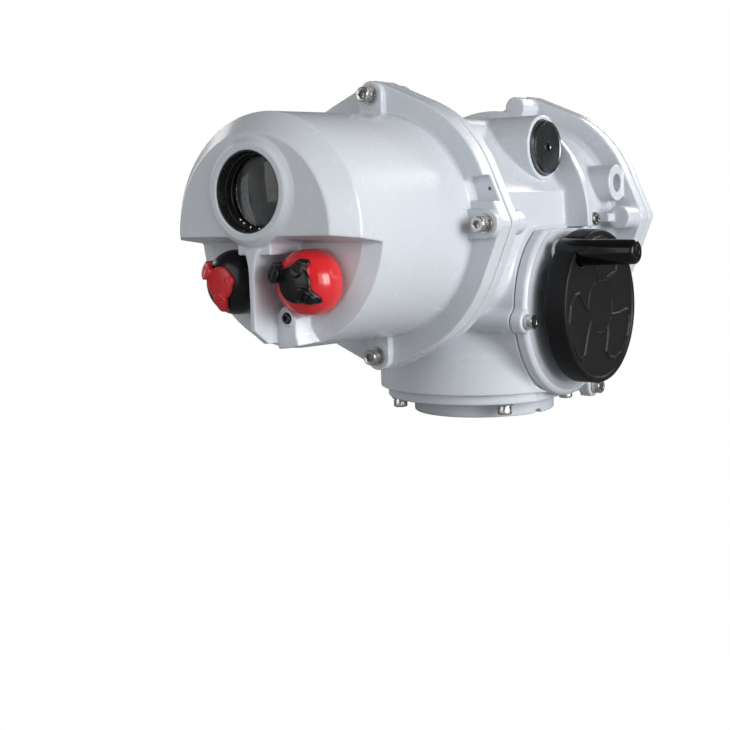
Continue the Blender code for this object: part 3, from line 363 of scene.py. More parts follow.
def turned(name, centre, axis, shells, count=72, sharp=34):
    """A turned mesh of one or more shells; a profile point is (radius, height[, kind])."""
    bm = bmesh.new()
    for profile in shells:
        rings = []
        for point in profile:
            radius, height = point[0], point[1]
            kind = point[2] if len(point) > 2 else "round"
            if radius == 0:
                rings.append([bm.verts.new((0, 0, height))])
            else:
                rings.append([bm.verts.new(p) for p in ring_points(radius, height, kind, count)])
        loops = list(zip(rings, rings[1:]))
        if len(rings[0]) > 1 and len(rings[-1]) > 1:
            loops.append((rings[-1], rings[0]))
        for a, b in loops:
            for i in range(count):
                j = (i + 1) % count
                if len(a) == 1 and len(b) == 1:
                    continue
                if len(a) == 1:
                    bm.faces.new((a[0], b[i], b[j]))
                elif len(b) == 1:
                    bm.faces.new((a[i], b[0], a[j]))
                else:
                    bm.faces.new((a[i], b[i], b[j], a[j]))
    bmesh.ops.recalc_face_normals(bm, faces=bm.faces)
    mesh = bpy.data.meshes.new(name)
    bm.to_mesh(mesh)
    bm.free()
    place = Matrix.Translation(Vector(centre) * MM) @ turn_to(axis) @ Matrix.Scale(MM, 4)
    mesh.transform(place)
    mesh.shade_smooth()
    mesh.set_sharp_from_angle(angle=math.radians(sharp))
    obj = bpy.data.objects.new(name, mesh)
    bpy.context.scene.collection.objects.link(obj)
    return obj


def painted(name, casting, node, soft=True):
    """A casting in the housing's white paint."""
    obj = casting_object(name, casting, soft)
    return finish_piece(obj, PAINT, "housing", [node])


def finish_piece(obj, look, body="housing", stands_for=()):
    """Give a piece its material and body, and hide the CAD nodes that it stands for."""
    obj.data.materials.clear()
    obj.data.materials.append(look)
    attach(obj, body)
    if stands_for:
        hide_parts(*stands_for)
    return obj


# Materials

class Look:
    """A small helper that wires one procedural material."""

    def __init__(self, name, metallic=0.0, specular=0.5, coat=0.0, coat_roughness=0.1):
        self.material = bpy.data.materials.new(name)
        self.material.use_nodes = True
        self.tree = self.material.node_tree
        self.shader = self.tree.nodes["Principled BSDF"]
        self.shader.inputs["Metallic"].default_value = metallic
        self.shader.inputs["Specular IOR Level"].default_value = specular
        self.shader.inputs["Coat Weight"].default_value = coat
        self.shader.inputs["Coat Roughness"].default_value = coat_roughness
        self.coordinates = self.node("ShaderNodeTexCoord").outputs["Object"]

    def node(self, kind, **values):
        node = self.tree.nodes.new(kind)
        for key, value in values.items():
            setattr(node, key, value)
        return node

    def wire(self, a, b):
        self.tree.links.new(a, b)

    def noise(self, scale, detail=3.0, roughness=0.55, stretch=None):
        source = self.coordinates
        if stretch:
            mapping = self.node("ShaderNodeMapping")
            mapping.inputs["Scale"].default_value = stretch
            self.wire(self.coordinates, mapping.inputs["Vector"])
            source = mapping.outputs["Vector"]
        node = self.node("ShaderNodeTexNoise")
        node.inputs["Scale"].default_value = scale
        node.inputs["Detail"].default_value = detail
        node.inputs["Roughness"].default_value = roughness
        self.wire(source, node.inputs["Vector"])
        return node.outputs["Fac"]

    def spread(self, value, low, high, start=0.3, end=0.7):
        node = self.node("ShaderNodeMapRange")
        for key, number in (("From Min", start), ("From Max", end), ("To Min", low), ("To Max", high)):
            node.inputs[key].default_value = number
        self.wire(value, node.inputs["Value"])
        return node.outputs["Result"]

    def mix(self, factor, first, second):
        node = self.node("ShaderNodeMix", data_type="RGBA")
        self.wire(factor, node.inputs["Factor"])
        for socket, color in ((node.inputs["A"], first), (node.inputs["B"], second)):
            if isinstance(color, tuple):
                socket.default_value = (*color, 1.0)
            else:
                self.wire(color, socket)
        return node.outputs["Result"]

    def edge(self, low=0.52, high=0.6):
        """How much a point lies on an outer edge."""
        return self.spread(self.node("ShaderNodeNewGeometry").outputs["Pointiness"], 0, 1, low, high)

    def color(self, value):
        self.wire(value, self.shader.inputs["Base Color"])

    def roughness(self, value):
        self.wire(value, self.shader.inputs["Roughness"])

    def bump(self, *layers):
        """Layers are (height value, depth in metres), the last one outermost."""
        normal = None
        for height, depth in layers:
            node = self.node("ShaderNodeBump")
            node.inputs["Strength"].default_value = 1.0
            node.inputs["Distance"].default_value = depth
            self.wire(height, node.inputs["Height"])
            if normal is not None:
                self.wire(normal, node.inputs["Normal"])
            normal = node.outputs["Normal"]
        self.wire(normal, self.shader.inputs["Normal"])


def paint_look():
    look = Look("white_cast_paint", specular=0.5, coat=0.25, coat_roughness=0.12)
    cloud = look.noise(9, 3)
    fine = look.noise(420, 2)
    peel = look.noise(150, 2)
    look.color(look.mix(look.spread(cloud, 0, 1), (0.60, 0.635, 0.685), (0.64, 0.672, 0.718)))
    look.roughness(look.spread(look.noise(60, 4), 0.255, 0.28))
    look.bump((peel, 0.000016), (fine, 0.000008))
    return look.material


def machined_look(name, color=(0.58, 0.58, 0.57), rough=(0.2, 0.34)):
    look = Look(name, metallic=1.0)
    streak = look.noise(300, 3, stretch=(1, 1, 0.12))
    dark = tuple(c * 0.78 for c in color)
    look.color(look.mix(look.spread(streak, 0, 1), dark, color))
    look.roughness(look.spread(look.noise(500, 2), *rough))
    look.bump((streak, 0.00002))
    return look.material


def moulded_look(name, color, rough=(0.3, 0.42), grain=900, depth=0.00004, coat=0.0, edge_highlight=0.04,
                 specular=0.5):
    look = Look(name, specular=specular, coat=coat, coat_roughness=0.08)
    tone = look.noise(14, 3)
    deep = tuple(c * 0.86 for c in color)
    base = look.mix(look.spread(tone, 0, 1), deep, color)
    # Painted highlight: outer edges, found by pointiness, are drawn a little lighter than the face
    edge_highlight_colour = tuple(min(1.0, c + edge_highlight) for c in color)
    look.color(look.mix(look.edge(), base, edge_highlight_colour))
    look.roughness(look.spread(look.noise(90, 4), *rough))
    look.bump((look.noise(grain, 2), depth))
    return look.material


def glass_look():
    look = Look("window_glass_clear", specular=0.5)
    look.shader.inputs["Transmission Weight"].default_value = 1.0
    look.shader.inputs["IOR"].default_value = 1.45
    look.color(look.mix(look.spread(look.noise(30, 2), 0, 1), (0.93, 0.95, 0.95), (0.97, 0.98, 0.98)))
    look.roughness(look.spread(look.noise(70, 3), 0.0, 0.03))
    return look.material


def screen_look():
    """Dark display with a painted reflection: a pale band left of its middle, mottled by noise and fading
    to the right.
    """
    look = Look("screen", specular=0.3)
    place = look.node("ShaderNodeSeparateXYZ")
    look.wire(look.coordinates, place.inputs[0])
    # Painted reflection: the screen's colour is made paler in a band left of its middle, rising from the
    # left and fading towards the right
    rise = look.spread(place.outputs["X"], 0, 1, -0.026, -0.010)
    fade = look.spread(place.outputs["X"], 1, 0.12, -0.008, 0.016)
    painted_reflection = look.node("ShaderNodeMath", operation="MULTIPLY")
    look.wire(rise, painted_reflection.inputs[0])
    look.wire(fade, painted_reflection.inputs[1])
    grain = look.node("ShaderNodeMath", operation="MULTIPLY")
    look.wire(painted_reflection.outputs[0], grain.inputs[0])
    look.wire(look.spread(look.noise(90, 4), 0.5, 1.0), grain.inputs[1])
    look.color(look.mix(grain.outputs[0], (0.012, 0.013, 0.015), (0.16, 0.165, 0.175)))
    look.roughness(look.spread(look.noise(60, 2), 0.3, 0.45))
    look.bump((look.noise(300, 2), 0.00001))
    return look.material


def board_look():
    look = Look("circuit_board", specular=0.5)
    tracks = look.node("ShaderNodeTexBrick")
    tracks.inputs["Scale"].default_value = 160
    tracks.inputs["Mortar Size"].default_value = 0.03
    look.wire(look.coordinates, tracks.inputs["Vector"])
    look.color(look.mix(tracks.outputs["Fac"], (0.01, 0.13, 0.05), (0.05, 0.28, 0.12)))
    look.roughness(look.spread(look.noise(200, 2), 0.3, 0.5))
    look.bump((tracks.outputs["Fac"], 0.00003))
    return look.material


def winding_look():
    look = Look("copper_winding", metallic=1.0)
    wave = look.node("ShaderNodeTexWave", bands_direction="Y")
    wave.inputs["Scale"].default_value = 260
    look.wire(look.coordinates, wave.inputs["Vector"])
    look.color(look.mix(wave.outputs["Fac"], (0.35, 0.12, 0.05), (0.78, 0.36, 0.18)))
    look.roughness(look.spread(look.noise(200, 2), 0.3, 0.5))
    look.bump((wave.outputs["Fac"], 0.0002))
    return look.material


PAINT = paint_look()
STEEL = machined_look("machined_steel")
BOLT_STEEL = machined_look("bolt_steel", (0.62, 0.61, 0.59), (0.16, 0.3))
DARK_STEEL = machined_look("blackened_steel", (0.09, 0.095, 0.1), (0.28, 0.42))
BRONZE = machined_look("bronze", (0.6, 0.4, 0.17))
ALUMINIUM = machined_look("aluminium", (0.66, 0.67, 0.68))
LAMINATION = machined_look("lamination", (0.32, 0.33, 0.35), (0.35, 0.5))
RUBBER = moulded_look("rubber", (0.012, 0.012, 0.013), (0.6, 0.8), 1200)
BLACK_SATIN = moulded_look("black_satin", (0.006, 0.0062, 0.0072), (0.36, 0.5), 1400, 0.00005, 0.0, 0.012,
                           0.22)
BLACK_GLOSS = moulded_look("black_gloss", (0.003, 0.003, 0.0035), (0.14, 0.22), 500, 0.00002, 0.0, 0.004,
                           0.3)
BLACK_KNOB = moulded_look("black_knob", (0.004, 0.004, 0.0046), (0.2, 0.32), 900, 0.00003, 0.0, 0.01,
                          0.35)
RED_GLOSS = moulded_look("red_gloss", (0.70, 0.018, 0.024), (0.14, 0.26), 300, 0.00003, 0.3, 0.06)
RED_CLAW = moulded_look("red_claw", (0.62, 0.016, 0.024), (0.25, 0.38), 1000, 0.00005, 0.1, 0.06)
GREY_PLASTIC = moulded_look("grey_plastic", (0.3, 0.31, 0.32))
WELL_BLACK = moulded_look("well_black", (0.010, 0.010, 0.011), (0.22, 0.36), 700)
PLUG_STEEL = machined_look("brushed_plug", (0.16, 0.165, 0.172), (0.24, 0.36))
SCREEN = screen_look()
GLASS = glass_look()
BOARD = board_look()
WINDING = winding_look()


# Castings

def flange_outline(u, w):
    """Distance to a round flange drawn out to four ears, seen along the body axis."""
    w = w - BODY_Z
    reach = FLANGE_TIP_R - FLANGE_CORNER
    lean = (FLANGE_R - FLANGE_CORNER) / reach
    side = math.sqrt(1 - lean * lean)
    result = None
    for along, across in ((u, np.abs(w)), (-u, np.abs(w)), (w, np.abs(u)), (-w, np.abs(u))):
        slant = side * along - lean * across
        main = np.sqrt(along ** 2 + across ** 2) - FLANGE_R
        tip = np.sqrt((along - reach) ** 2 + across ** 2) - FLANGE_CORNER
        edge = across * side + along * lean - FLANGE_R
        d = np.where(slant < 0, main, np.where(slant > side * reach, tip, edge))
        result = d if result is None else np.minimum(result, d)
    return result


def flange(start, end, edge=1.2):
    return prism(1, flange_outline, FLANGE_TIP_R, (0, BODY_Z), start, end, edge)


def on_body(degrees, radius=FLANGE_BOLT_R):
    x, z = polar(degrees, radius)
    return x, BODY_Z + z


def on_hand(degrees, radius):
    y, z = polar(degrees, radius)
    return y, HAND_Z + z


def flat_outline(u, w):
    """Front view of what the body lacks on its right side: a steep side and a slanted shoulder."""
    return polygon_distance([(FLAT_X, 90), (FLAT_X, 204), (27, 268), (27, 320), (220, 320),
                             (220, 90)], u, w)


def below(z):
    return half_space((0, 0, 1), (0, 0, z))


def gear_case():
    c = Casting((-126, -149, 8), (126, 114, 304), 1.15)
    front, rear, axis = CASE_FRONT_Y, CASE_REAR_Y, (0, BODY_Z)
    c.add(lathe(1, axis, [
        (0, front), (112, front), (112, -134), (108, -131), (103.6, -126), (100.4, -119),
        (98.2, -112), (97, -104), (97, BAND_Y + 4), (90, 33), (90, 88), (92, 94), (97, 98),
        (112, 99), (112, rear), (0, rear)]))
    c.cut(prism(1, flat_outline, 110, (112, 200), FLAT_FRONT_Y, BAND_Y + 6, 4), 12)
    c.add(lathe(2, CENTRE, [(0, 24.5), (BASE_R, 24.5), (BASE_R, 58), (96, 68), (80, 110), (74, 128),
                            (72, BODY_Z), (0, BODY_Z)]), 16)
    c.add(lathe(1, axis, [(0, BAND_Y), (BAND_R - 0.8, BAND_Y), (BAND_R, BAND_Y + 0.8), (BAND_R, 29.6),
                          (BAND_R - 1, 31), (92, 33), (0, 33)]), 5)
    c.add(flange(front, -134), 1.0)
    c.add(flange(98.4, rear), 2.0)
    side = rod(0, (0, HAND_Z), HAND_FLANGE_R, 20, 90)
    c.add(common(side, below(LEDGE_Z), blend=5), 7)
    for degrees, radius in HAND_BOLTS:
        c.add(rod(0, on_hand(degrees, radius), 10, 30, 90), 3)
    for degrees, _ in QUARTERS:
        c.add(rod(1, on_body(degrees), 10.5, -142, -119), 2)
        c.add(rod(1, on_body(degrees), 11, 72, 106), 2)
        c.add(rod(1, on_body(degrees, 104), 7, 76, 106), 4)
    for side in (-1, 1):
        x = sorted((side * 84, side * 106))
        c.add(block((x[0], 62, BODY_Z - 4), (x[1], 107, BODY_Z + 4)), 3)
    c.add(rod(0, (PLUG_Y, PLUG_Z), 30, 8, 74, 0.8), 1.6)
    c.add(rod(0, (LUG_Y, LUG_Z), 17.5, 50, LUG_X, 0.8), 1.6)
    for z in CONDUIT_Z:
        c.add(rod(0, (CONDUIT_Y, z), 22, -108, -60), 3)
    seat = rod(0, (0, HAND_Z), HAND_FLANGE_R + 2, HAND_SEAT_X, 131, 0.2)
    c.cut(common(seat, below(LEDGE_Z + 0.8)), 0.5)
    for degrees, radius in HAND_BOLTS:
        c.cut(rod(0, on_hand(degrees, radius), 12, HAND_SEAT_X, 131, 0.2), 0.5)
    c.cut(rod(2, CENTRE, BASE_RING_R + 1, 0, 25, 0.2))
    hollow_case(c, axis)
    return painted("gear_case_casting", c, "gearcase", soft=False)


def hollow_case(c, axis):
    """The three chambers, the seats and the tapped holes."""
    c.cut(rod(1, axis, 74, -150, -72, 2))
    c.cut(rod(1, axis, 72, -60, 40, 2))
    c.cut(rod(1, axis, 82, 52, 116, 2))
    c.cut(rod(2, CENTRE, 69, 58, BODY_Z, 2))
    c.add(rod(2, CENTRE, 32, 247, 262), 2)
    c.cut(rod(2, CENTRE, 28.4, 240, 263.2, 0.3))
    c.cut(rod(2, CENTRE, 44.3, 20, 42.3, 0.3))
    c.cut(rod(2, CENTRE, 38, 20, 70, 0.3))
    c.cut(rod(0, (0, HAND_Z), 24.4, 60, 90, 0.3))
    c.cut(rod(0, (0, HAND_Z), 62, 79.5, 90, 0.3))
    c.cut(rod(0, (PLUG_Y, PLUG_Z), 19.5, 0, 80, 0.3))
    c.cut(rod(0, (PLUG_Y, PLUG_Z), 25.9, 68, 110, 0.3))
    c.cut(rod(0, (LUG_Y, LUG_Z), 8.4, LUG_X - 18, LUG_X + 3, 0.3), 0.8)
    for y in (-69, 35):
        c.cut(rod(1, (WORM_X, BODY_Z), 13.6, y, y + 24, 0.3))
    for z in CONDUIT_Z:
        c.cut(rod(0, (CONDUIT_Y, z), 15.8, -120, -60, 0.3))
    for degrees, _ in QUARTERS:
        c.cut(rod(1, on_body(degrees), HOLE_R, -148, -130, 0.3))
        c.cut(rod(1, on_body(degrees), HOLE_R, 95, 114, 0.3))
    for degrees in DIAGONALS:
        c.cut(rod(2, polar(degrees, BASE_BOLT_R), HOLE_R, 20, 42, 0.3))
    for degrees, radius in HAND_BOLTS:
        c.cut(rod(0, on_hand(degrees, radius), HOLE_R, 70, 90, 0.3))


def web_outline(u, w):
    half = [(10, 172), (8.6, 168), (7.0, 164), (5.4, 160), (4.2, 156), (3.4, 152), (2.8, 146),
            (2.4, 125), (2.8, 84)]
    return polygon_distance(half + [(-a, b) for a, b in reversed(half)], u, w)


def post_outline(u, w):
    return polygon_distance([(3, 113), (7, 118.5), (13.5, 119.8), (19, 117), (20.6, 110),
                             (21, 98), (26, 82), (3, 82)], u, w)


def control_cover():
    c = Casting((-126, -329, 53), (126, -145.5, 303.5), 1.0)
    axis, back = (0, BODY_Z), COVER_BACK_Y
    c.add(lathe(1, axis, [
        (0, back), (95, back), (95, -163), (91.7, -305.4), (91.1, -306.6), (75.7, -322.3),
        (74.6, COVER_FRONT_Y), (0, COVER_FRONT_Y)]))
    lower = lathe(1, axis, [(0, RECESS_Y), (77, RECESS_Y), (93, RECESS_LIP_Y + 0.2),
                            (120, RECESS_LIP_Y), (120, -345), (0, -345)])
    shelf = half_space((0, 6.3, 43), (0, COVER_FRONT_Y, 174.3))
    c.cut(common(lower, shelf, blend=2), 0.4)
    c.add(lathe(1, (0, WINDOW_Z), [
        (0, -327.5), (36.6, -327.5), (37.3, -327.1), (41.9, -322.6), (41.9, -283), (0, -283)]), 1.2)
    c.add(block((-16.5, -321, 160), (16.5, -282, 173), 1.2), 2)
    c.add(prism(1, web_outline, 30, (0, 128), -325, -282, 0.7), 2.5)
    post = prism(1, post_outline, 34, (12, 100), POST_FRONT_Y, -280, 0.9, 0.3, POST_FRONT_Y)
    c.add(common(post, rod(1, axis, 91, -340, -200, 0.5)), 1.5)
    foot = half_space((0, -17.1, -24), (0, -325, 102.3))
    c.cut(common(block((-34, -330, 50), (34, -299.5, 107), 0.1), outside(foot)), 0.5)
    for side in (-1, 1):
        c.add(rod(1, (side * KNOB_X, KNOB_Z), 5, -298, -283, 0.5), 1)
    c.add(flange(COVER_FLANGE_Y, back), 2.2)
    c.add(rod(1, (SCREW_X, SCREW_Z), 6.4, POST_FRONT_Y - 1.6, -290, 0.5), 0.5)
    for degrees, _ in QUARTERS:
        c.add(rod(1, on_body(degrees), 12, COVER_BOSS_Y, -159, 0.6), 0.8)
        inner, outer = on_body(degrees, 86), on_body(degrees, FLANGE_BOLT_R)
        reach = 12 if degrees in (90, 270) else 0
        low = (min(inner[0], outer[0]) - reach, COVER_BOSS_Y, min(inner[1], outer[1]) - 12 + reach)
        high = (max(inner[0], outer[0]) + reach, -159, max(inner[1], outer[1]) + 12 - reach)
        c.add(block(low, high, 0.6), 0.8)
    pocket = rod(1, (98.6, 206.8), 10.3, -182, -152.5, 0.3)
    side = block((98.6, -182, 196.5), (132, -152.5, 217.1), 0.3)
    can = rod(1, axis, 96.2, -200, -140, 0.1)
    for shape in (pocket, side):
        c.cut(common(shape, outside(can)), 0.4)
    c.cut(rod(1, (106, 206.4), 1.5, -154, -148, 0.2))
    hollow_cover(c, axis, back)
    return painted("control_cover_casting", c, "control_cover", soft=False)


def hollow_cover(c, axis, back):
    c.cut(lathe(1, axis, [(0, -279), (83, -279), (86, back + 2), (0, back + 2)]))
    hood = lathe(1, axis, [(0, -315), (62, -315), (81, -303), (83, -277), (0, -277)])
    c.cut(common(hood, (lambda x, y, z: 181 - z, None, None)))
    c.cut(rod(1, (0, WINDOW_Z), WINDOW_R, -340, -312, 0.2), 0.5)
    c.cut(rod(1, (0, WINDOW_Z), 34, -318, -275, 0.2))
    c.cut(rod(1, (SCREW_X, SCREW_Z), 4.4, -310, -284.5, 0.2))
    for degrees, _ in QUARTERS:
        c.cut(rod(1, on_body(degrees), HOLE_R, -180, back + 2, 0.2))


def rear_cover():
    c = Casting((-126, 110, 53), (126, 156, 303.5), 1.4)
    axis = (0, BODY_Z)
    c.add(lathe(1, axis, [(0, 114), (98, 114), (97.4, 128), (96, 135), (92, 142), (86, 147),
                          (76, 151), (50, 153.3), (0, 154)]))
    c.add(flange(112.6, 124.6), 4)
    for degrees, _ in QUARTERS:
        c.add(rod(1, on_body(degrees), 11, 113, 124.6, 0.6), 1)
        c.cut(rod(1, on_body(degrees), HOLE_R, 110, 130, 0.2))
    c.cut(lathe(1, axis, [(0, 110), (85, 110), (84, 134), (74, 144), (0, 146)]))
    return painted("rear_cover_casting", c, "rear_cover")


def base_plate():
    c = Casting((-93, -93, -2), (93, 93, 28), 1.0)
    c.add(rod(2, CENTRE, BASE_RING_R, 14.8, 24.7, 0.8))
    c.cut(block((81, -100, 0), (110, 100, 50), 0.2))
    c.add(rod(2, CENTRE, SPIGOT_R, 0, 16, 0.8), 1)
    c.cut(rod(2, CENTRE, 30.2, -5, 30, 0.2))
    c.cut(rod(2, CENTRE, 38.3, 15.7, 40, 0.2))
    c.cut(block((60, -14, -3), (72, -6, 3.2), 0.3))
    for degrees in DIAGONALS:
        c.cut(rod(2, polar(degrees, BASE_BOLT_R), HOLE_R, 0, 30, 0.2))
        c.cut(rod(2, polar(degrees, 51), 4.2, -3, 13, 0.2), 0.6)
    return painted("base_plate_casting", c, "base_plate")


def handwheel_flange():
    c = Casting((70, -93, 8), (98, 93, 192), 1.0)
    centre = (0, HAND_Z)
    c.add(lathe(0, centre, [
        (0, 84.3), (HAND_FLANGE_R - 0.8, 84.3), (HAND_FLANGE_R, 85.1), (HAND_FLANGE_R, 93),
        (HAND_FLANGE_R - 3, HAND_FRONT_X), (77, HAND_FRONT_X), (74, 94), (0, 94)]))
    c.cut(outside(below(LEDGE_Z), [70, -93, LEDGE_Z], [98, 93, 192]), 2)
    c.add(rod(0, centre, 24, 72, 90, 0.5), 1)
    for degrees, radius in HAND_BOLTS:
        c.add(rod(0, on_hand(degrees, radius), 10, 84.3, HAND_FRONT_X, 1), 3)
        c.cut(rod(0, on_hand(degrees, radius), HOLE_R, 80, 100, 0.2))
    c.cut(rod(0, centre, 17.4, 66, 84.4, 0.2))
    c.cut(rod(0, centre, 14.4, 66, 100, 0.2))
    return painted("handwheel_flange_casting", c, "handwheel_flange")


# Handwheel

SWIRL = ((24, -24), (30, -20), (38, -15), (47, -10), (54, -8), (59, -11), (61.5, -19), (62, -32),
         (60, -50), (56, -64), (50, -74), (43, -78), (35, -70), (28, -60), (24, -54))


def swirl_distance(u, w):
    """Distance on the wheel's face to the outline of its three curved arms."""
    w = w - HAND_Z
    nearest = None
    for turn in (0, 120, 240):
        points = [polar(angle + turn, radius) for radius, angle in SWIRL]
        for a, b in zip(points, points[1:]):
            eu, ew = b[0] - a[0], b[1] - a[1]
            share = np.clip(((u - a[0]) * eu + (w - a[1]) * ew) / (eu * eu + ew * ew), 0, 1)
            d = (u - a[0] - eu * share) ** 2 + (w - a[1] - ew * share) ** 2
            nearest = d if nearest is None else np.minimum(nearest, d)
    return np.sqrt(nearest)


def handwheel_disc():
    c = Casting((104, -71.5, 28), (130, 71.5, 171.5), 0.75)
    centre, face = (0, HAND_Z), WHEEL_FRONT_X - 1.6
    c.add(lathe(0, centre, [
        (0, WHEEL_BACK_X), (18, WHEEL_BACK_X), (20, 119), (58, 119), (63, WHEEL_BACK_X),
        (67.6, WHEEL_BACK_X), (WHEEL_R, 108), (WHEEL_R, 125.4), (68.3, 127.4), (66.6, WHEEL_FRONT_X),
        (64.8, WHEEL_FRONT_X - 0.3), (63.4, face), (24.4, face), (23.6, face - 0.7), (22.8, face - 0.7),
        (22, face), (0, face)]))

    def ridge(x, y, z):
        return np.sqrt(swirl_distance(y, z) ** 2 + (x - face + 0.1) ** 2) - 1.5
    c.add((ridge, [face - 2, -64, HAND_Z - 64], [face + 2, 64, HAND_Z + 64]), 1.0)
    keep = rod(0, centre, WHEEL_R - 1, 100, 130, 0.5)
    c.add(common(rod(0, (GRIP_Y, GRIP_Z), 18, WHEEL_BACK_X + 0.5, 126, 0.5), keep), 1)
    c.cut(rod(0, (GRIP_Y, GRIP_Z), 12.9, 90, 140, 0.2), 0.5)
    c.cut(rod(0, centre, 8.4, 90, WHEEL_FRONT_X - 4, 0.2))
    obj = casting_object("handwheel_disc_moulding", c, soft=False)
    return finish_piece(obj, BLACK_SATIN, "handwheel", ["handwheel_disc", "handwheel_hub_cap"])


def handle_grip():
    centre = (WHEEL_BACK_X, GRIP_Y, GRIP_Z)
    length = GRIP_END_X - WHEEL_BACK_X
    shells = [[(0, 0.6), (11.2, 0.6), (12.1, 1.2), (12.4, 2.2), (10.7, length - 3.6),
               (10.3, length - 1.9), (9.2, length - 0.6), (7.6, length), (5.6, length - 0.1),
               (4.9, length - 0.6), (3, length - 1.2), (0, length - 1.3)]]
    obj = turned("handle_grip_moulding", centre, (1, 0, 0), shells, 96, 50)
    return finish_piece(obj, BLACK_GLOSS, "handle", ["handle_grip"])


# Knobs

def dome_height(radius, offset=0.0):
    """Place along Y of a knob's surface, raised by an offset, at a distance from its axis."""
    share = min(1.0, radius / (KNOB_R + offset)) ** (1 / DOME_POWER)
    return KNOB_SHOULDER_Y + (KNOB_CROWN_Y - offset - KNOB_SHOULDER_Y) * math.sqrt(1 - share * share)


def dome_points(offset=0.0, steps=16):
    """Half section of a knob's dome from its shoulder to its crown."""
    points = []
    for step in range(steps):
        radius = (KNOB_R + offset) * math.cos(math.pi / 2 * step / steps) ** DOME_POWER
        points.append((radius, dome_height(radius, offset)))
    return points + [(0, KNOB_CROWN_Y - offset)]


def knob_dome(name, side, look, body, node):
    root = [(0, RECESS_Y - 0.8), (20.8, RECESS_Y - 0.8), (20.8, -290.8), (24.6, -291.2),
            (KNOB_R, -292.2)]
    points = [(radius, -place) for radius, place in root + dome_points()]
    obj = turned(name, (side * KNOB_X, 0, KNOB_Z), (0, -1, 0), [points], 128, 40)
    return finish_piece(obj, look, body, [node])


def arm_distance(u, w, angle, start, end, inner, outer):
    """Distance to a tapered arm that leaves the hub at an angle."""
    cos, sin = polar(angle, 1)
    along, across = u * cos + w * sin, -u * sin + w * cos
    t = np.clip((along - start) / (end - start), 0, 1)
    return np.sqrt((along - start - t * (end - start)) ** 2 + across ** 2) - inner - (outer - inner) * t


def claw_outline(centre, hub, arms):
    """Distance in front view to a round hub with arms."""
    def distance(u, w):
        u, w = u - centre[0], w - centre[1]
        result = np.sqrt(u ** 2 + w ** 2) - hub
        for angle, _, end, inner, outer, _ in arms:
            result = soft_min(result, arm_distance(u, w, angle, 4, end, inner * 0.8, outer * 0.9), 2.5)
        return result
    return distance


def pad_outline(centre, arm):
    def distance(u, w):
        return arm_distance(u - centre[0], w - centre[1], *arm[:5])
    return distance


def knob_claw(name, side, look, body, node, hub, shift, arms):
    """Claw that grips the dome, with a raised and ribbed pad at the end of each arm."""
    centre = (side * KNOB_X, KNOB_Z)
    heart = (centre[0] + shift, centre[1])
    c = Casting((centre[0] - 34, -331, centre[1] - 34), (centre[0] + 34, -291, centre[1] + 34), 0.6)
    shell = lathe(1, centre, [(0, -297), (KNOB_R + 2.4, -297)] + dome_points(2.4))
    c.add(common(shell, prism(1, claw_outline(heart, hub, arms), 34, centre, -340, -285, 0.2), blend=1.4))
    for arm in arms:
        angle, start, end, inner, outer, rise = arm
        raised = lathe(1, centre, [(0, -297), (KNOB_R + rise, -297)] + dome_points(rise))
        pad = prism(1, pad_outline(centre, arm), 34, centre, -340, -285, 0.2)
        c.add(common(raised, pad, blend=1.0), 0.7)
        for share in (0.1, 0.55, 1.0):
            radius = start + (end - start) * share
            half = 0.72 * (inner + (outer - inner) * share)
            x, z = polar(angle, radius)
            nx, nz = polar(angle + 90, half)
            y = dome_height(radius, rise)
            c.cut(groove((centre[0] + x - nx, y, centre[1] + z - nz),
                         (centre[0] + x + nx, y, centre[1] + z + nz), 0.75), 0.3)
    c.cut(lathe(1, centre, [(0, -288), (KNOB_R + 0.4, -288)] + dome_points(0.4)))
    obj = casting_object(name, c, soft=False)
    return finish_piece(obj, look, body, [node])


def groove(start, end, radius):
    """A round bar between two points."""
    a, b = np.array(start), np.array(end)
    e = b - a

    def distance(x, y, z):
        q = (x - a[0], y - a[1], z - a[2])
        t = np.clip((q[0] * e[0] + q[1] * e[1] + q[2] * e[2]) / (e @ e), 0, 1)
        return np.sqrt(sum((c - t * k) ** 2 for c, k in zip(q, e))) - radius
    return distance, list(np.minimum(a, b) - radius), list(np.maximum(a, b) + radius)


# Fasteners, plugs and window

def socket_screw(name, seat, axis, length, size, washers, node, look):
    """Socket-head screw with a knurled head, and its washers."""
    head = 0.8125 * size
    base = sum(w[1] for w in washers)
    top = base + size
    shells = [[(0, -length), (size * 0.42, -length), (size / 2, -length + 1), (size / 2, base),
               (head - 0.3, base), (head, base + 0.4, "knurl"), (head, top - 0.9, "knurl"),
               (head - 0.8, top), (size * 0.47, top), (size * 0.43, top - 0.3, "hex"),
               (size * 0.43, top - size * 0.55, "hex"), (0, top - size * 0.62)]]
    height = 0.02
    for outer, thickness in washers:
        inner = size / 2 + 0.2
        shells.append([(inner, height), (outer - 0.2, height), (outer, height + 0.2),
                       (outer, height + thickness - 0.25), (outer - 0.25, height + thickness - 0.05),
                       (inner, height + thickness - 0.05)])
        height += thickness
    obj = turned(name, seat, axis, shells, 72, 30)
    return finish_piece(obj, look, "housing", [node])


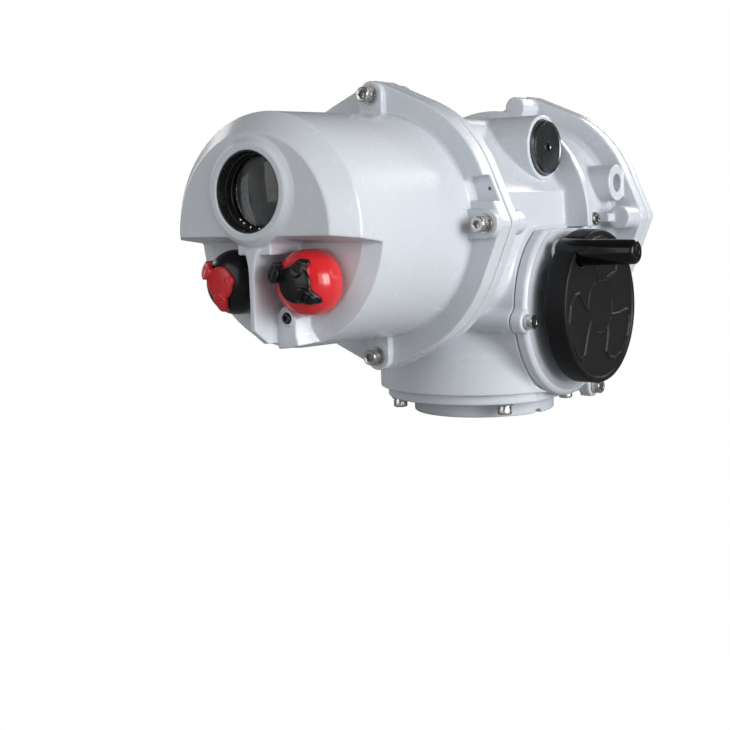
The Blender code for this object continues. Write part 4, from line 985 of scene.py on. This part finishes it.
def fasteners():
    flat_and_spring = ((8.0, 1.8), (6.2, 2.2))
    for degrees, label in QUARTERS:
        x, z = on_body(degrees)
        socket_screw("cover_screw_" + label, (x, COVER_BOSS_Y - 0.3, z), (0, -1, 0), 36, 8,
                     flat_and_spring, "control_cover_bolt_" + label, BOLT_STEEL)
        socket_screw("rear_screw_" + label, (x, 124.9, z), (0, 1, 0), 26, 8, (),
                     "rear_cover_bolt_" + label, BOLT_STEEL)
    for number, degrees in enumerate(DIAGONALS, 1):
        x, y = polar(degrees, BASE_BOLT_R)
        socket_screw("base_screw_%d" % number, (x, y, 14.5), (0, 0, -1), 24, 8, ((8.0, 1.6),),
                     "base_bolt_%d" % number, BOLT_STEEL)
    for number, (degrees, radius) in enumerate(HAND_BOLTS, 1):
        y, z = on_hand(degrees, radius)
        socket_screw("handwheel_flange_screw_%d" % number, (HAND_FRONT_X + 0.3, y, z), (1, 0, 0), 14,
                     8, (), "handwheel_flange_bolt_%d" % number, BOLT_STEEL)
    socket_screw("lock_screw", (SCREW_X, POST_FRONT_Y + 1.9, SCREW_Z), (0, -1, 0), 12, 5, (),
                 "knob_lock_screw", DARK_STEEL)


def plugs():
    obj = turned("oil_plug_turned", (67, PLUG_Y, PLUG_Z), (1, 0, 0), [[
        (0, -10), (18.8, -10), (18.8, 3), (25.2, 3), (25.2, 9.8), (24.7, 10.8), (23.8, 11.9),
        (22.8, 12), (22.2, 11.6), (21.6, 11.2), (12, 11.0), (5.4, 11.0), (4.9, 11.8), (3.8, 11.8),
        (3.4, 11.2, "hex"), (3.2, 6, "hex"), (0, 5.5)]], 96, 30)
    finish_piece(obj, PLUG_STEEL, "housing", ["oil_plug"])
    for label, z in zip(("lower", "upper"), CONDUIT_Z):
        obj = turned("conduit_plug_turned_" + label, (-92, CONDUIT_Y, z), (-1, 0, 0), [[
            (0, 0), (14.4, 0), (15, 0.8), (15, 16.3), (19.6, 16.3, "hex"), (20, 17, "hex"),
            (20, 24, "hex"), (18.4, 25, "hex"), (16, 25.0), (15, 24.2), (0, 24.2)]], 96, 30)
        finish_piece(obj, DARK_STEEL, "housing", ["conduit_plug_" + label])


def window():
    centre = (0, 0, WINDOW_Z)
    obj = turned("window_pane", centre, (0, -1, 0), [[
        (0, 307.4), (27.2, 307.4), (27.5, 308), (27.5, 310.2), (27.0, 310.8), (24, 311.9), (18, 313.1),
        (9, 313.9), (0, 314.2)]], 128, 30)
    finish_piece(obj, GLASS, "housing", ["window_glass"])
    well = [(31.1, 326.2), (30.8, 326.5), (30.4, 326.2), (29.7, 318.6), (28.9, 318.0), (28.3, 313.4),
            (27.8, 312.8), (27.8, 307), (25.6, 306.4), (25.5, 301), (33.6, 301), (33.6, 317.4),
            (31.1, 317.6)]
    obj = turned("window_well", centre, (0, -1, 0), [well], 128, 25)
    finish_piece(obj, WELL_BLACK, "housing", ["window_retainer"])
    screen = [(0, 294), (32, 294), (32, 300.7), (25.2, 300.7), (25.2, 306.8), (24.6, 307.1),
              (0, 307.1)]
    obj = turned("display_screen", centre, (0, -1, 0), [screen], 128, 25)
    finish_piece(obj, SCREEN, "housing", ["display_module"])
    for number, degrees in enumerate((228, 237, 252, 270, 288, 297, 309)):
        x, z = polar(degrees, 28.6)
        stud = turned("window_stud_%d" % number, (x, -313.4, WINDOW_Z + z), (0, -1, 0), [[
            (0, -0.5), (1.3, -0.5), (1.35, 0.7), (1.1, 1.1), (0.5, 1.3), (0, 1.35)]], 24, 30)
        finish_piece(stud, BOLT_STEEL, "housing", ())


# Materials for the CAD nodes that stay

STAYING = {
    "front_joint_seal": RUBBER, "rear_joint_seal": RUBBER, "drive_seal": RUBBER,
    "handwheel_shaft_seal": RUBBER, "lower_drive_bearing": STEEL, "upper_drive_bearing": STEEL,
    "handwheel_bearing": STEEL, "worm_bearing_front": STEEL, "worm_bearing_rear": STEEL,
    "electronics_plate": ALUMINIUM, "power_board": BOARD, "sensor_board": BOARD,
    "transformer": WINDING, "terminal_block": GREY_PLASTIC, "motor_rotor": WINDING,
    "motor_stator": LAMINATION, "worm_shaft": STEEL, "worm_wheel": BRONZE, "drive_sleeve": STEEL,
    "drive_bush": BRONZE, "clutch_ring": STEEL, "hand_gear": STEEL, "handwheel_shaft": STEEL,
    "hand_pinion": STEEL, "handle_pin": STEEL,
}


def dress_staying_nodes():
    for node, look in STAYING.items():
        mesh = NODES[node].data
        mesh.materials.clear()
        mesh.materials.append(look)


# Stage, light and camera

def floor():
    bm = bmesh.new()
    bmesh.ops.create_circle(bm, cap_ends=True, segments=96, radius=30)
    mesh = bpy.data.meshes.new("floor")
    bm.to_mesh(mesh)
    bm.free()
    obj = bpy.data.objects.new("floor", mesh)
    bpy.context.scene.collection.objects.link(obj)
    obj.location = (0, 0, -0.0005)
    look = Look("floor_pale", specular=0.1)
    look.color(look.mix(look.spread(look.noise(3, 2), 0, 1), (0.42, 0.42, 0.425), (0.44, 0.44, 0.445)))
    look.shader.inputs["Roughness"].default_value = 0.8
    white = look.node("ShaderNodeEmission")
    white.inputs["Strength"].default_value = 1.0
    mix = look.node("ShaderNodeMixShader")
    out = look.tree.nodes["Material Output"]
    look.wire(look.node("ShaderNodeLightPath").outputs["Is Camera Ray"], mix.inputs["Fac"])
    look.wire(look.shader.outputs[0], mix.inputs[1])
    look.wire(white.outputs[0], mix.inputs[2])
    look.wire(mix.outputs[0], out.inputs["Surface"])
    mesh.materials.append(look.material)


def area_light(name, place, target, size, power, size_y=None):
    data = bpy.data.lights.new(name, "AREA")
    data.energy = power
    data.size = size
    if size_y:
        data.shape = "RECTANGLE"
        data.size_y = size_y
    obj = bpy.data.objects.new(name, data)
    bpy.context.scene.collection.objects.link(obj)
    obj.location = place
    direction = Vector(target) - Vector(place)
    obj.rotation_euler = direction.to_track_quat("-Z", "Y").to_euler()
    return obj


def lights():
    world = bpy.data.worlds.new("studio")
    bpy.context.scene.world = world
    world.use_nodes = True
    tree = world.node_tree
    back = tree.nodes["Background"]
    back.inputs["Color"].default_value = (1.0, 1.0, 1.0, 1.0)
    back.inputs["Strength"].default_value = 0.12
    seen = tree.nodes.new("ShaderNodeBackground")
    seen.inputs["Color"].default_value = (1, 1, 1, 1)
    seen.inputs["Strength"].default_value = 1.0
    path = tree.nodes.new("ShaderNodeLightPath")
    mix = tree.nodes.new("ShaderNodeMixShader")
    tree.links.new(path.outputs["Is Camera Ray"], mix.inputs["Fac"])
    tree.links.new(back.outputs[0], mix.inputs[1])
    tree.links.new(seen.outputs[0], mix.inputs[2])
    tree.links.new(mix.outputs[0], tree.nodes["World Output"].inputs["Surface"])
    area_light("key_right", (2.15, -0.1, 0.45), (0.0, -0.1, 0.15), 1.3, 46)
    area_light("key_front_right", (1.9, -0.9, 0.6), (0.0, -0.1, 0.15), 1.2, 10)
    area_light("fill_front", (-0.4, -2.2, 0.8), (0, -0.2, 0.15), 1.8, 16)
    area_light("fill_left", (-2.1, 0.1, 0.8), (0, -0.1, 0.15), 1.2, 10)
    area_light("rim_back", (0.3, 2.1, 1.2), (0, -0.1, 0.2), 1.6, 15, size_y=0.5)


def camera():
    """The picture's viewpoint: turned about 35 degrees, almost level, with a small shift."""
    yaw, pitch, roll = 0.6135, -0.0284, -0.0287
    view = Vector((-math.sin(yaw) * math.cos(pitch), math.cos(yaw) * math.cos(pitch),
                   math.sin(pitch)))
    right = Vector((math.cos(yaw), math.sin(yaw), 0))
    up = right.cross(view)
    turned_right = right * math.cos(roll) + up * math.sin(roll)
    turned_up = -right * math.sin(roll) + up * math.cos(roll)
    data = bpy.data.cameras.new("camera")
    data.sensor_width = 36
    data.lens = 64.87
    data.shift_x = -0.0616
    data.shift_y = -0.1644
    data.clip_start = 0.05
    data.clip_end = 100
    obj = bpy.data.objects.new("camera", data)
    bpy.context.scene.collection.objects.link(obj)
    rotation = Matrix((turned_right, turned_up, -view)).transposed().to_4x4()
    obj.matrix_world = Matrix.Translation((0.6685, -1.0653, 0.1928)) @ rotation
    bpy.context.scene.camera = obj


gear_case()
control_cover()
rear_cover()
base_plate()
handwheel_flange()
handwheel_disc()
handle_grip()
knob_dome("selector_dome", 1, RED_GLOSS, "selector", "selector_knob")
knob_dome("command_dome", -1, BLACK_KNOB, "command", "command_knob")
knob_claw("selector_claw_moulding", 1, BLACK_KNOB, "selector", "selector_claw",
          14.2, 2.2, ((153, 17.5, 21, 7.2, 6.8, 7.0), (62, 12, 17.5, 5.2, 3.4, 4.6),
                      (-37, 13.0, 14.0, 5.6, 5.6, 5.6), (-36, 15, 18.8, 4.4, 4.2, 4.6)))
knob_claw("command_claw_moulding", -1, RED_CLAW, "command", "command_claw",
          13, 0, ((148, 17.5, 23.5, 6.6, 4.6, 4.8), (10, 10.5, 11.5, 3.4, 3.0, 2.8),
                  (-88, 13.5, 18.5, 6.0, 3.8, 4.6)))
fasteners()
plugs()
window()
dress_staying_nodes()
floor()
lights()
camera()
bpy.context.scene.view_settings.view_transform = "Standard"
